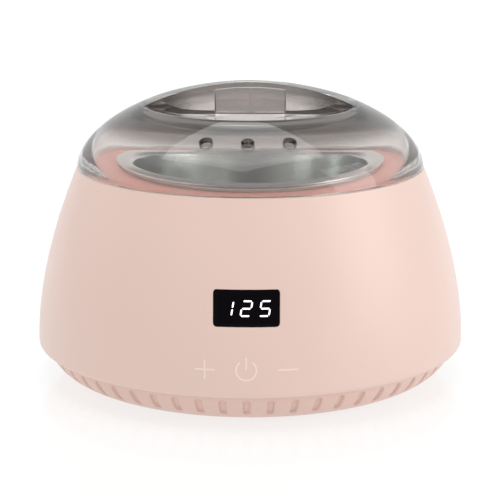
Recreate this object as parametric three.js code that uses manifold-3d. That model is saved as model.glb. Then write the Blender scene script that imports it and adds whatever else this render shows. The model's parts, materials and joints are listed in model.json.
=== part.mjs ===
// Wax warmer pot: a heated casing with a display and touch keys, a lift-out wax pot and a clear lid.
// Millimetres, +Z up. The origin is on the table under the middle; the display side faces -Y.

import * as THREE from 'three';
import { mergeVertices } from 'three/addons/utils/BufferGeometryUtils.js';
import Module from 'manifold-3d';

const wasm = await Module();
wasm.setup();

// ---------------------------------------------------------------- driving dimensions

const GAP = 0.3;              // clearance between neighbouring pieces
const WALL = 2.5;             // moulded wall
const SCREW_SHAFT_R = 1.2;
const SCREW_HOLE_R = 1.6;
const SCREW_HEAD_R = 2.8;
const SCREW_HEAD_H = 2;

const BODY_R = 101.9;         // widest ring of the casing
const WIDEST_Z = 17.5;
const BULGE_Z = 53.3;         // how high the casing keeps its fullness
const SEAM_R = 82.3;          // where the lid meets the casing
const SEAM_Z = 100.5;
const BASE_SEAM_R = 98;       // where the casing meets the slotted base
const BASE_SEAM_Z = 14.9;
const BASE_BELLY_R = 94.3;    // the base's side bulges towards this point
const BASE_BELLY_Z = 4.1;
const BASE_FLOOR_R = 81.5;    // edge of the base's flat underside
const BASE_FLOOR_Z = 0.6;
const BASE_FLOOR_T = 3;
const SLOT_COUNT = 56;
const SLOT_LENGTH = 12.5;
const SLOT_WIDTH = 4.3;
const SLOT_DEPTH = 1.6;

const BORE_R = 78.4;          // rim bore that locates the lid's skirt
const DECK_Z = 97;            // top of the deck ring
const DECK_OPENING_R = 62;
const LEDGE_R = 75.8;

const BOWL_R = 59;            // fixed heater bowl, outside
const BOWL_WALL = 1.2;
const BOWL_FLOOR_Z = 37.8;
const BOWL_FLANGE_R = 64;
const BOWL_FLANGE_Z = 98.3;
const FLANGE_T = 1;
const POT_R = 56.8;           // removable pot, outside
const POT_WALL = 1;
const POT_FLOOR_Z = 40;
const POT_FLANGE_R = 64.5;
const POT_FLANGE_Z = 99.6;
const CORNER_R = 8;           // bottom corner of the bowl and of the pot

const LID_Z = SEAM_Z + GAP;   // lid's resting face
const DOME_H = 39.6;          // crown of the lid above that face
const LID_FOOT_R = 76.2;      // inside of the lid's thick foot
const ROOM_LEAN = 3.5;        // the room inside the lid widens above its foot, then closes in
const ROOM_SIDE_H = 14;
const ROOM_SHOULDER_R = 56;
const ROOM_TOP_H = 31.5;
const SKIRT_H = 3.2;
const DISH_LIP_R = 51;        // round dish in the lid's crown, for the fingers
const DISH_LIP_H = 29.3;
const DISH_FLOOR_R = 34.5;
const DISH_FLOOR_H = 24.6;
const VENT_R = 2.8;
const GRIP_HALF_T = 3.6;      // grip bar left standing across the dish
const GRIP_FLARE = 0.0035;    // half thickness grows by this times x squared

const DISPLAY_Z = 55.1;
const DISPLAY_W = 28.8;
const DISPLAY_H = 15.7;
const DISPLAY_CORNER_R = 1.5;
const KEY_Z = 28.4;
const KEY_PITCH = 18.2;
const CONTROL_Y = -84.5;      // front face of the upright control board

const BOARD_Z = 9;            // underside of the power board
const BOARD_T = 1.6;
const BOARD_W = 72;
const BOARD_D = 56;
const INLET_Z = 30;
const INLET_FRONT_Y = 100.2;  // mouth of the inlet, just inside the casing's outline
const PIN_PITCH = 8.6;

const ROUND_SIDES = 40;       // sides of the large turned pieces
const ROD_SIDES = 16;
const SMALL_SIDES = 10;
const HOLE_SIDES = 8;
const SIDE_STEPS = 7;         // straight steps in the casing's side
const DOME_STEPS = 9;
const BASE_STEPS = 5;

// ---------------------------------------------------------------- looks

const LOOKS = {
  casing: { color: 0xe4c8bd, roughness: 0.55, metalness: 0 },
  clearLid: { color: 0xa09a94, roughness: 0.05, metalness: 0, transparent: true, opacity: 0.35 },
  aluminium: { color: 0xc9ccca, roughness: 0.25, metalness: 1 },
  steel: { color: 0xb5b7ba, roughness: 0.35, metalness: 1 },
  brass: { color: 0xc9a961, roughness: 0.35, metalness: 1 },
  blackPlastic: { color: 0x0d0a0f, roughness: 0.3, metalness: 0 },
  whitePlastic: { color: 0xe9e7e1, roughness: 0.5, metalness: 0 },
  bluePlastic: { color: 0x2a5aa8, roughness: 0.45, metalness: 0 },
  board: { color: 0x2f6b3c, roughness: 0.45, metalness: 0 },
  rubber: { color: 0x8f7f7a, roughness: 0.85, metalness: 0 },
  silicone: { color: 0xb9b5ae, roughness: 0.7, metalness: 0 },
  mica: { color: 0xa89468, roughness: 0.6, metalness: 0 },
  glassWool: { color: 0xe6e1d2, roughness: 0.95, metalness: 0 },
  glass: { color: 0xd8e0e0, roughness: 0.1, metalness: 0 },
  brownWire: { color: 0x6b3f25, roughness: 0.6, metalness: 0 },
  blueWire: { color: 0x2c4f96, roughness: 0.6, metalness: 0 },
  whiteWire: { color: 0xe2ddd2, roughness: 0.7, metalness: 0 },
  greyRibbon: { color: 0x9a9a9c, roughness: 0.6, metalness: 0 },
};

// ---------------------------------------------------------------- geometry helpers

/** Keeps only the shape: welded corners, no flat triangles, faces pointing out. */
function welded(geometry) {
  geometry.deleteAttribute('normal');
  geometry.deleteAttribute('uv');
  const merged = mergeVertices(geometry, 1e-4);
  const corners = merged.index.array;
  const kept = [];
  for (let i = 0; i < corners.length; i += 3) {
    const [a, b, c] = [corners[i], corners[i + 1], corners[i + 2]];
    if (a !== b && b !== c && c !== a) kept.push(a, b, c);
  }
  merged.setIndex(kept);
  if (signedVolume(merged) < 0) kept.reverse();
  merged.setIndex(kept);
  return merged;
}

function signedVolume(geometry) {
  const position = geometry.getAttribute('position');
  const corner = (i) => new THREE.Vector3().fromBufferAttribute(position, geometry.index.getX(i));
  let sixfold = 0;
  for (let i = 0; i < geometry.index.count; i += 3) {
    sixfold += corner(i).dot(corner(i + 1).cross(corner(i + 2)));
  }
  return sixfold / 6;
}

function toSolid(geometry) {
  return new wasm.Manifold(new wasm.Mesh({
    numProp: 3,
    vertProperties: new Float32Array(geometry.getAttribute('position').array),
    triVerts: new Uint32Array(geometry.index.array),
  }));
}

function fromSolid(solid) {
  const mesh = solid.getMesh();
  const geometry = new THREE.BufferGeometry();
  geometry.setAttribute('position', new THREE.BufferAttribute(mesh.vertProperties, 3));
  geometry.setIndex(new THREE.BufferAttribute(mesh.triVerts, 1));
  return geometry;
}

/** One body: the first geometry with others joined to it and others cut away. */
function shaped(base, { join = [], cut = [] }) {
  let solid = toSolid(base);
  for (const extra of join) solid = solid.add(toSolid(extra));
  for (const tool of cut) solid = solid.subtract(toSolid(tool));
  return fromSolid(solid);
}

function common(first, second) {
  return fromSolid(toSolid(first).intersect(toSolid(second)));
}

/** Turned about Z from [radius, height] pairs that start and end on the axis. */
function turned(outline, sides) {
  const points = outline.map(([radius, height]) => new THREE.Vector2(radius, height));
  return welded(new THREE.LatheGeometry(points, sides).rotateX(Math.PI / 2));
}

/** Turned about Z from an outline clear of the axis, closed on itself. */
function ring(outline, sides) {
  return turned([...outline, outline[0]], sides);
}

/** Plain ring with a rectangular section. */
function band(innerR, outerR, bottom, top, sides) {
  return ring([[innerR, bottom], [outerR, bottom], [outerR, top], [innerR, top]], sides);
}

/** Upright rod from one height to another. */
function rod(radius, bottom, top, sides = ROD_SIDES) {
  const geometry = new THREE.CylinderGeometry(radius, radius, top - bottom, sides);
  return welded(geometry.rotateX(Math.PI / 2).translate(0, 0, (bottom + top) / 2));
}

/** Box between two opposite corners. */
function block([x0, y0, z0], [x1, y1, z1]) {
  const geometry = new THREE.BoxGeometry(x1 - x0, y1 - y0, z1 - z0);
  return welded(geometry.translate((x0 + x1) / 2, (y0 + y1) / 2, (z0 + z1) / 2));
}

/** Rounded rectangle in the XY plane, centred on the origin. */
function roundedRectangle(width, height, radius) {
  const [x, y] = [width / 2 - radius, height / 2 - radius];
  const shape = new THREE.Shape();
  shape.absarc(x, y, radius, 0, Math.PI / 2);
  shape.absarc(-x, y, radius, Math.PI / 2, Math.PI);
  shape.absarc(-x, -y, radius, Math.PI, 1.5 * Math.PI);
  shape.absarc(x, -y, radius, 1.5 * Math.PI, 2 * Math.PI);
  shape.closePath();
  return shape;
}

/** A shape drawn as seen from the front, run along Y between two depths at a height. */
function prismAlongY(shape, y0, y1, z, curveSegments = 2) {
  const geometry = new THREE.ExtrudeGeometry(shape, { depth: y1 - y0, bevelEnabled: false, curveSegments });
  return welded(geometry.rotateX(Math.PI / 2).translate(0, y1, z));
}

/** Round lead or wire through the given points. */
function lead(points, diameter, steps) {
  const section = new THREE.Shape().absarc(0, 0, diameter / 2, 0, 2 * Math.PI);
  const path = new THREE.CatmullRomCurve3(points.map((point) => new THREE.Vector3(...point)));
  return welded(new THREE.ExtrudeGeometry(section, { extrudePath: path, steps, curveSegments: 3 }));
}

/** Pan-head screw standing on its head at the origin, its shaft pointing up. */
function screw(length) {
  return turned([
    [0, 0],
    [SCREW_HEAD_R * 0.7, 0],
    [SCREW_HEAD_R, SCREW_HEAD_H * 0.5],
    [SCREW_HEAD_R, SCREW_HEAD_H],
    [SCREW_SHAFT_R, SCREW_HEAD_H],
    [SCREW_SHAFT_R, SCREW_HEAD_H + length - 1],
    [0, SCREW_HEAD_H + length],
  ], SMALL_SIDES);
}

/** Copies of one geometry turned about Z. */
function around(angles, makeGeometry) {
  return angles.map((angle) => makeGeometry().rotateZ(THREE.MathUtils.degToRad(angle)));
}

function addPiece(parent, name, geometry, look) {
  const mesh = new THREE.Mesh(geometry, new THREE.MeshStandardMaterial(look));
  mesh.name = name;
  parent.add(mesh);
  return mesh;
}

// ---------------------------------------------------------------- outlines shared by several pieces

const CASE_SCREW_R = 75;
const CASE_SCREW_ANGLES = [25, 155, 205, 335];
const FOOT_R = 70;
const FOOT_ANGLES = { front_left: 230, front_right: 310, rear_left: 130, rear_right: 50 };
const SHIELD_POST_R = 47;
const SHIELD_POST_ANGLES = [90, 210, 330];
const SHIELD_Z = 25.2;
const BRACKET_X = 70;
const BRACKET_Z = 30.7;
const BRACKET_T = 1.5;
const CONTROL_SCREW_X = 26;
const CONTROL_SCREW_Z = 43;
const CONTROL_T = 1.6;

/** The casing's side from its widest ring to the lid seam, moved inward by an inset. */
function sideOutline(inset, divisions) {
  const side = new THREE.QuadraticBezierCurve(
    new THREE.Vector2(BODY_R - inset, WIDEST_Z),
    new THREE.Vector2(BODY_R - inset, BULGE_Z),
    new THREE.Vector2(SEAM_R - inset, SEAM_Z),
  );
  return side.getPoints(divisions).map((point) => [point.x, point.y]);
}

/** The lid's dome from its foot to the crown. */
function domeOutline(divisions) {
  const dome = new THREE.CubicBezierCurve(
    new THREE.Vector2(SEAM_R, LID_Z),
    new THREE.Vector2(SEAM_R - 1.5, LID_Z + 0.55 * DOME_H),
    new THREE.Vector2(0.44 * SEAM_R, LID_Z + DOME_H),
    new THREE.Vector2(0, LID_Z + DOME_H),
  );
  return dome.getPoints(divisions).map((point) => [point.x, point.y]);
}

/** The room inside the lid, whose wall is thinnest a little above its foot. */
function roomOutline(divisions) {
  const room = new THREE.CubicBezierCurve(
    new THREE.Vector2(LID_FOOT_R, LID_Z),
    new THREE.Vector2(LID_FOOT_R + ROOM_LEAN, LID_Z + ROOM_SIDE_H),
    new THREE.Vector2(ROOM_SHOULDER_R, LID_Z + ROOM_TOP_H),
    new THREE.Vector2(0, LID_Z + ROOM_TOP_H),
  );
  return room.getPoints(divisions).map((point) => [point.x, point.y]);
}

/** The base's side from the casing seam down to its flat underside. */
function baseSide() {
  return new THREE.QuadraticBezierCurve(
    new THREE.Vector2(BASE_SEAM_R - GAP, BASE_SEAM_Z - GAP),
    new THREE.Vector2(BASE_BELLY_R, BASE_BELLY_Z),
    new THREE.Vector2(BASE_FLOOR_R, BASE_FLOOR_Z),
  );
}

/** Quarter circle of a rounded bottom corner, from the floor to the wall or back. */
function bottomCorner(wallR, floorZ, radius, upwards, divisions = 3) {
  const points = [];
  for (let i = 0; i <= divisions; i += 1) {
    const angle = (Math.PI / 2) * (upwards ? i : divisions - i) / divisions;
    points.push([
      wallR - radius + radius * Math.sin(angle),
      floorZ + radius - radius * Math.cos(angle),
    ]);
  }
  return points;
}

// ---------------------------------------------------------------- casing

function outerShell() {
  const outline = [];
  for (const degrees of [90, 60, 30]) {                // the casing rolls under above the base
    const angle = THREE.MathUtils.degToRad(degrees);
    outline.push([
      BASE_SEAM_R + (BODY_R - BASE_SEAM_R) * Math.cos(angle),
      WIDEST_Z - (WIDEST_Z - BASE_SEAM_Z) * Math.sin(angle),
    ]);
  }
  outline.push(...sideOutline(0, SIDE_STEPS));
  outline.push([BORE_R, SEAM_Z]);
  outline.push([BORE_R, DECK_Z - WALL - GAP]);
  outline.push([LEDGE_R, DECK_Z - WALL - GAP]);
  outline.push([LEDGE_R, DECK_Z - 5]);
  const inside = sideOutline(WALL, SIDE_STEPS).reverse();
  outline.push(...inside.slice(1));
  outline.push([BASE_SEAM_R - WALL, BASE_SEAM_Z]);
  const shell = ring(outline, ROUND_SIDES);

  const caseBosses = around(CASE_SCREW_ANGLES, () => {
    const boss = rod(4, 12.3, 42).translate(CASE_SCREW_R, 0, 0);
    const rib = block([CASE_SCREW_R, -1.25, 20], [BODY_R - WALL - 0.4, 1.25, 41]);
    return shaped(boss, { join: [rib] });
  });
  const caseHoles = around(CASE_SCREW_ANGLES, () => rod(SCREW_HOLE_R, 12, 36, SMALL_SIDES)
    .translate(CASE_SCREW_R, 0, 0));

  const controlBossEnd = CONTROL_Y - GAP;
  const controlBosses = [-1, 1].map((side) => rod(3.4, 0, 10)
    .rotateX(Math.PI / 2)
    .translate(side * CONTROL_SCREW_X, controlBossEnd, CONTROL_SCREW_Z));
  const controlHoles = [-1, 1].map((side) => rod(SCREW_HOLE_R, -1, 8, SMALL_SIDES)
    .rotateX(Math.PI / 2)
    .translate(side * CONTROL_SCREW_X, controlBossEnd, CONTROL_SCREW_Z));

  const windowShape = roundedRectangle(DISPLAY_W + 2 * GAP, DISPLAY_H + 2 * GAP, DISPLAY_CORNER_R + GAP);
  const windowCut = prismAlongY(windowShape, -BODY_R - 3, -88, DISPLAY_Z);
  const inletCut = block([-10.5, 90, INLET_Z - 6.2], [10.5, 105, INLET_Z + 6.2]);
  return shaped(shell, {
    join: [...caseBosses, ...controlBosses],
    cut: [...caseHoles, ...controlHoles, windowCut, inletCut],
  });
}

function topDeck() {
  const under = DECK_Z - WALL;
  const deck = ring([
    [DECK_OPENING_R, 90],
    [DECK_OPENING_R + 2, 90],
    [DECK_OPENING_R + 2, under],
    [BORE_R - GAP, under],
    [BORE_R - GAP, DECK_Z],
    [DECK_OPENING_R, DECK_Z],
  ], ROUND_SIDES);
  const postEnd = BRACKET_Z + BRACKET_T + GAP;
  const posts = [-1, 1].map((side) => rod(3.2, postEnd, under + 1).translate(side * BRACKET_X, 0, 0));
  const holes = [-1, 1].map((side) => rod(SCREW_HOLE_R, postEnd - 1, postEnd + 14, SMALL_SIDES)
    .translate(side * BRACKET_X, 0, 0));
  return shaped(deck, { join: posts, cut: holes });
}

function bottomCover() {
  const seamZ = BASE_SEAM_Z - GAP;
  const insideZ = BASE_FLOOR_Z + BASE_FLOOR_T;
  const lip = { outerR: 94.6, innerR: 92.2, height: 3.2 };   // stands up inside the casing's wall
  const inside = new THREE.QuadraticBezierCurve(
    new THREE.Vector2(lip.innerR, seamZ),
    new THREE.Vector2(BASE_BELLY_R - 4, BASE_BELLY_Z + 3),
    new THREE.Vector2(BASE_FLOOR_R - 3, insideZ),
  );
  const dish = turned([
    [0, BASE_FLOOR_Z],
    ...baseSide().getPoints(BASE_STEPS).reverse().map((point) => [point.x, point.y]),
    [lip.outerR, seamZ],
    [lip.outerR, seamZ + lip.height],
    [lip.innerR, seamZ + lip.height],
    ...inside.getPoints(BASE_STEPS - 1).map((point) => [point.x, point.y]),
    [0, insideZ],
  ], SLOT_COUNT).rotateZ(Math.PI / SLOT_COUNT);

  const slotMiddle = baseSide().getPoint(0.34);
  const slope = Math.atan2(-baseSide().getTangent(0.34).y, -baseSide().getTangent(0.34).x);
  const [halfLength, halfWidth] = [SLOT_LENGTH / 2, SLOT_WIDTH / 2];
  const shoulder = halfLength - 0.75 * halfWidth;
  const slotShape = new THREE.Shape()
    .moveTo(halfLength, 0)
    .lineTo(shoulder, halfWidth)
    .lineTo(-shoulder, halfWidth)
    .lineTo(-halfLength, 0)
    .lineTo(-shoulder, -halfWidth)
    .lineTo(shoulder, -halfWidth);
  const slotAngles = Array.from({ length: SLOT_COUNT }, (_, i) => (360 * i) / SLOT_COUNT);
  const slots = around(slotAngles, () => welded(
    new THREE.ExtrudeGeometry(slotShape, { depth: SLOT_DEPTH + 2, bevelEnabled: false })
      .translate(0, 0, -2)
      .rotateY(-slope)
      .translate(slotMiddle.x, 0, slotMiddle.y),
  ));

  const columns = around(CASE_SCREW_ANGLES, () => rod(5.2, insideZ - 0.5, 12).translate(CASE_SCREW_R, 0, 0));
  const screwHoles = around(CASE_SCREW_ANGLES, () => shaped(
    rod(SCREW_HOLE_R, 0, 13, SMALL_SIDES),
    { join: [rod(SCREW_HEAD_R + GAP, 0, 5.5)] },
  ).translate(CASE_SCREW_R, 0, 0));

  const shieldPosts = around(SHIELD_POST_ANGLES, () => rod(3, insideZ - 0.5, SHIELD_Z - GAP, SMALL_SIDES)
    .translate(SHIELD_POST_R, 0, 0));
  const shieldHoles = around(SHIELD_POST_ANGLES, () => rod(SCREW_HOLE_R, 12, SHIELD_Z, HOLE_SIDES)
    .translate(SHIELD_POST_R, 0, 0));
  const boardPosts = boardCorners().map(([x, y]) => rod(3, insideZ - 0.5, BOARD_Z - GAP, SMALL_SIDES)
    .translate(x, y, 0));
  const boardHoles = boardScrewCorners().map(([x, y]) => rod(SCREW_HOLE_R, 4, BOARD_Z, HOLE_SIDES)
    .translate(x, y, 0));

  const footPockets = around(Object.values(FOOT_ANGLES), () => rod(8.1, 0, BASE_FLOOR_Z + 1.5)
    .translate(FOOT_R, 0, 0));
  const ventAngles = [0, 45, 90, 135, 180, 225, 270, 315];
  const vents = around(ventAngles, () => block([16, -1.5, 0], [30, 1.5, 6]));
  return shaped(dish, {
    join: [...columns, ...shieldPosts, ...boardPosts],
    cut: [...slots, ...screwHoles, ...shieldHoles, ...boardHoles, ...footPockets, ...vents],
  });
}

function foot() {
  const top = BASE_FLOOR_Z + 1.5 - GAP;
  return turned([[0, 0], [7, 0], [7.7, 0.4], [7.7, top], [0, top]], ROD_SIDES);
}

// ---------------------------------------------------------------- display and touch keys

function displayLens() {
  const beside = ([, z]) => Math.abs(z - DISPLAY_Z) < 2 * DISPLAY_H;
  const outside = sideOutline(0.15, SIDE_STEPS).filter(beside);
  const inside = sideOutline(WALL - GAP, SIDE_STEPS).filter(beside).reverse();
  const curvedWall = ring([...outside, ...inside], ROUND_SIDES);
  const windowShape = roundedRectangle(DISPLAY_W, DISPLAY_H, DISPLAY_CORNER_R);
  return common(curvedWall, prismAlongY(windowShape, -BODY_R - 3, -88, DISPLAY_Z));
}

function displayModule() {
  const body = block([-15, -90.8, DISPLAY_Z - 8.5], [15, CONTROL_Y - GAP, DISPLAY_Z + 8.5]);
  const faceRecess = block([-13.5, -92, DISPLAY_Z - 7], [13.5, -90.2, DISPLAY_Z + 7]);
  return shaped(body, { cut: [faceRecess] });
}

function controlBoard() {
  const board = block([-30, CONTROL_Y, 20], [30, CONTROL_Y + CONTROL_T, 66]);
  const holes = [-1, 1].map((side) => rod(SCREW_HOLE_R + 0.2, -1, 3, SMALL_SIDES)
    .rotateX(-Math.PI / 2)
    .translate(side * CONTROL_SCREW_X, CONTROL_Y, CONTROL_SCREW_Z));
  return shaped(board, { cut: holes });
}

/** Spring that carries a key's touch signal from the board to the back of the casing wall. */
function touchSpring(x) {
  const start = -CONTROL_Y + GAP;
  const end = Math.sqrt((BODY_R - WALL - 0.6) ** 2 - x ** 2) - 2.4;
  const turns = 3;
  const stepsPerTurn = 8;
  const points = [];
  for (let i = 0; i <= turns * stepsPerTurn; i += 1) {
    const angle = (2 * Math.PI * i) / stepsPerTurn;
    const reach = start + 0.5 + ((end - start - 0.5) * i) / (turns * stepsPerTurn);
    points.push([x + 2.6 * Math.cos(angle), -reach, KEY_Z + 2.6 * Math.sin(angle)]);
  }
  const section = new THREE.Shape().absarc(0, 0, 0.4, 0, 2 * Math.PI);
  const path = new THREE.CatmullRomCurve3(points.map((point) => new THREE.Vector3(...point)));
  const steps = turns * stepsPerTurn;
  return welded(new THREE.ExtrudeGeometry(section, { extrudePath: path, steps, curveSegments: 3 }));
}

// ---------------------------------------------------------------- bowl, pot and heater

function heaterBowl() {
  const innerR = BOWL_R - BOWL_WALL;
  const studR = 2.5;
  return turned([
    [0, BOWL_FLOOR_Z + BOWL_WALL],
    ...bottomCorner(innerR, BOWL_FLOOR_Z + BOWL_WALL, CORNER_R, true),
    [innerR, BOWL_FLANGE_Z + FLANGE_T],
    [BOWL_FLANGE_R, BOWL_FLANGE_Z + FLANGE_T],
    [BOWL_FLANGE_R, BOWL_FLANGE_Z],
    [BOWL_R, BOWL_FLANGE_Z],
    ...bottomCorner(BOWL_R, BOWL_FLOOR_Z, CORNER_R + BOWL_WALL, false),
    [studR, BOWL_FLOOR_Z],
    [studR, 26],
    [0, 26],
  ], ROUND_SIDES);
}

function waxPot() {
  const innerR = POT_R - POT_WALL;
  const floorInnerR = innerR - 1.5;                    // the wall tapers so that the pot lifts out freely
  const flangeTop = POT_FLANGE_Z + 1.2;
  return turned([
    [0, POT_FLOOR_Z + 1.2],
    ...bottomCorner(floorInnerR, POT_FLOOR_Z + 1.2, CORNER_R, true),
    [innerR, flangeTop - 1.5],
    [innerR + 1.2, flangeTop],
    [POT_FLANGE_R, flangeTop],
    [POT_FLANGE_R, POT_FLANGE_Z],
    [POT_R, POT_FLANGE_Z],
    [POT_R, POT_FLANGE_Z - 2],
    ...bottomCorner(floorInnerR + POT_WALL, POT_FLOOR_Z, CORNER_R + POT_WALL, false),
    [0, POT_FLOOR_Z],
  ], ROUND_SIDES);
}

function bowlSealRing() {
  const innerR = BOWL_R + GAP;
  return ring([
    [innerR, 92],
    [DECK_OPENING_R - GAP, 92],
    [DECK_OPENING_R - GAP, DECK_Z + GAP],
    [BOWL_FLANGE_R - 0.4, DECK_Z + GAP],
    [BOWL_FLANGE_R - 0.4, BOWL_FLANGE_Z - GAP],
    [innerR, BOWL_FLANGE_Z - GAP],
  ], ROUND_SIDES);
}

/** Ring with a gap at the rear, from its outline seen from above. */
function openBand(innerR, outerR, bottom, top, gapDegrees) {
  const from = Math.PI / 2 + THREE.MathUtils.degToRad(gapDegrees / 2);
  const to = from + 2 * Math.PI - THREE.MathUtils.degToRad(gapDegrees);
  const shape = new THREE.Shape();
  shape.absarc(0, 0, outerR, from, to, false);
  shape.absarc(0, 0, innerR, to, from, true);
  const options = { depth: top - bottom, bevelEnabled: false, curveSegments: 20 };
  return welded(new THREE.ExtrudeGeometry(shape, options).translate(0, 0, bottom));
}

const HEATER_BOTTOM = 48;
const HEATER_TOP = 72;
const HEATER_OUTER_R = 62;

function heaterBand() {
  return openBand(BOWL_R + 0.4, HEATER_OUTER_R, HEATER_BOTTOM, HEATER_TOP, 14);
}

function bandClamp() {
  const strap = openBand(HEATER_OUTER_R + 0.7, HEATER_OUTER_R + 1.3, 57, 63, 12);
  const lugs = [-1, 1].map((side) => block([side * 7 - 0.6, 62.4, 57], [side * 7 + 0.6, 68.5, 63]));
  const screwHole = rod(SCREW_HOLE_R, -12, 12, HOLE_SIDES).rotateY(Math.PI / 2).translate(0, 66, 60);
  return shaped(strap, { join: lugs, cut: [screwHole] });
}

function clampScrew() {
  return welded(screw(16).rotateY(Math.PI / 2).translate(-10.2, 66, 60));
}

function insulationWrap() {
  return openBand(HEATER_OUTER_R + 1.8, 66.4, HEATER_BOTTOM - 2, HEATER_TOP + 2, 22);
}

function bowlBracket() {
  const bar = block([-BRACKET_X - 5, -7, BRACKET_Z], [BRACKET_X + 5, 7, BRACKET_Z + BRACKET_T]);
  const holes = [-BRACKET_X, BRACKET_X].map((x) => rod(SCREW_HOLE_R, 25, 35, SMALL_SIDES).translate(x, 0, 0));
  const studHole = rod(2.9, 25, 35, ROD_SIDES);
  return shaped(bar, { cut: [...holes, studHole] });
}

function bracketNut() {
  return shaped(rod(4.6, 26.6, BRACKET_Z - GAP, 6), { cut: [rod(2.8, 20, 35, ROD_SIDES)] });
}

/** Snap-disc cut-out pressed against the bowl's floor. */
function thermalCutout() {
  const body = rod(7, BRACKET_Z + BRACKET_T + GAP, BOWL_FLOOR_Z - GAP).translate(22, 18, 0);
  const tabs = [-1, 1].map((side) => block([22 + side * 9 - 3, 16, 34.5], [22 + side * 9 + 3, 20, 35.3]));
  return shaped(body, { join: tabs });
}

function temperatureSensor() {
  const lug = rod(5, BOWL_FLOOR_Z - GAP - 1.2, BOWL_FLOOR_Z - GAP).translate(-20, -20, 0);
  const bead = rod(2, 32.5, BOWL_FLOOR_Z - GAP - 1, SMALL_SIDES).translate(-20, -20, 0);
  return shaped(lug, { join: [bead] });
}

function heatShield() {
  const disc = band(9, 53, SHIELD_Z, SHIELD_Z + 0.8, 32);
  const holes = around(SHIELD_POST_ANGLES, () => rod(SCREW_HOLE_R, 20, 30, HOLE_SIDES)
    .translate(SHIELD_POST_R, 0, 0));
  return shaped(disc, { cut: holes });
}

// ---------------------------------------------------------------- power board

const BOARD_TOP = BOARD_Z + BOARD_T;
const PART_Z = BOARD_TOP + GAP;                        // what stands on the board starts here

function boardCorners() {
  return [[-32, -24], [32, -24], [-32, 24], [32, 24]];
}

function boardScrewCorners() {
  return [[-32, -24], [32, 24]];
}

function powerBoard() {
  const board = block([-BOARD_W / 2, -BOARD_D / 2, BOARD_Z], [BOARD_W / 2, BOARD_D / 2, BOARD_TOP]);
  const holes = boardScrewCorners().map(([x, y]) => rod(SCREW_HOLE_R, 0, 20, HOLE_SIDES).translate(x, y, 0));
  return shaped(board, { cut: holes });
}

/** Rectangular component standing on the power board. */
function onBoard(x, y, width, depth, height) {
  return block([x - width / 2, y - depth / 2, PART_Z], [x + width / 2, y + depth / 2, PART_Z + height]);
}

/** Terminal block with an open throat for each of its two leads. */
function terminalBlock(x, y, entrySide) {
  const body = onBoard(x, y, 11, 8, 9);
  const mouthY = y + entrySide * 4;
  const throats = [-2.6, 2.6].map((offset) => rod(1.7, -3.5, 3.5, HOLE_SIDES)
    .rotateX(Math.PI / 2)
    .translate(x + offset, mouthY, PART_Z + 4));
  return shaped(body, { cut: throats });
}

function mainsFuse() {
  return welded(rod(2.6, -10, 10, SMALL_SIDES).rotateY(Math.PI / 2).translate(-16, 21, PART_Z + 3.2));
}

// ---------------------------------------------------------------- mains inlet

const INLET_BACK_Y = 82;
const PIN_X = PIN_PITCH / 2;

function powerInlet() {
  const nose = block([-10.2, INLET_BACK_Y + 4, INLET_Z - 5.9], [10.2, INLET_FRONT_Y, INLET_Z + 5.9]);
  const collar = block([-13.5, 94.2, INLET_Z - 8.5], [13.5, 96.4, INLET_Z + 8.5]);
  const mouth = roundedRectangle(16.2, 7.8, 3.85);
  const socket = prismAlongY(mouth, INLET_FRONT_Y - 11.5, INLET_FRONT_Y + 1, INLET_Z, 4);
  const pinHoles = [-PIN_X, PIN_X].map((x) => rod(1.5, -30, 30, HOLE_SIDES)
    .rotateX(Math.PI / 2)
    .translate(x, 90, INLET_Z));
  return shaped(nose, { join: [collar], cut: [socket, ...pinHoles] });
}

function inletPin(x) {
  return welded(rod(1.2, 0, INLET_FRONT_Y - 2.5 - INLET_BACK_Y, HOLE_SIDES)
    .rotateX(-Math.PI / 2)
    .translate(x, INLET_BACK_Y, INLET_Z));
}

// ---------------------------------------------------------------- internal leads

const TERMINAL_MAINS = { x: 12, y: 23 };
const TERMINAL_HEATER = { x: 24, y: -6 };

function mainsLead(side) {
  const x = side * PIN_X;
  const [endX, endY] = [TERMINAL_MAINS.x + side * 2.6, TERMINAL_MAINS.y + 1.2];
  return lead([
    [x, INLET_BACK_Y - GAP, INLET_Z],
    [x, 76, INLET_Z - 0.5],
    [x + 2, 66, 22],
    [endX, 50, PART_Z + 5],
    [endX, 38, PART_Z + 4],
    [endX, endY, PART_Z + 4],
  ], 2, 14);
}

function heaterLead(side) {
  const entryY = TERMINAL_HEATER.y - 1.2;
  const endX = TERMINAL_HEATER.x + side * 2.6;
  return lead([
    [endX, entryY, PART_Z + 4],
    [endX, -22, PART_Z + 4],
    [48 + side * 3, -34, 18],
    [60 + side * 2, -38, 34],
    [60 + side * 2, -38, 44.5],
  ], 2, 14);
}

function sensorLead() {
  return lead([
    [-20, -20, 32],
    [-20, -20.4, 30.6],
    [-22, -25, 29.3],
    [-30, -38, 29.5],
    [-38, -50, 27],
    [-34, -62, 20],
    [-22, -66, 14],
    [-20, -50, 13],
    [-20, -31.5, PART_Z + 2],
  ], 1.6, 18);
}

function ribbonCable() {
  const section = new THREE.Shape().moveTo(-5, -0.4).lineTo(5, -0.4).lineTo(5, 0.4).lineTo(-5, 0.4);
  const path = new THREE.CatmullRomCurve3([
    new THREE.Vector3(0, CONTROL_Y + CONTROL_T + 2 * GAP, 26),
    new THREE.Vector3(0, -78, 25.5),
    new THREE.Vector3(0, -70, 20),
    new THREE.Vector3(0, -56, 14),
    new THREE.Vector3(0, -40, PART_Z + 2.5),
    new THREE.Vector3(0, -28.6, PART_Z + 2.5),
  ]);
  return welded(new THREE.ExtrudeGeometry(section, { extrudePath: path, steps: 14 }));
}

// ---------------------------------------------------------------- lid

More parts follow.
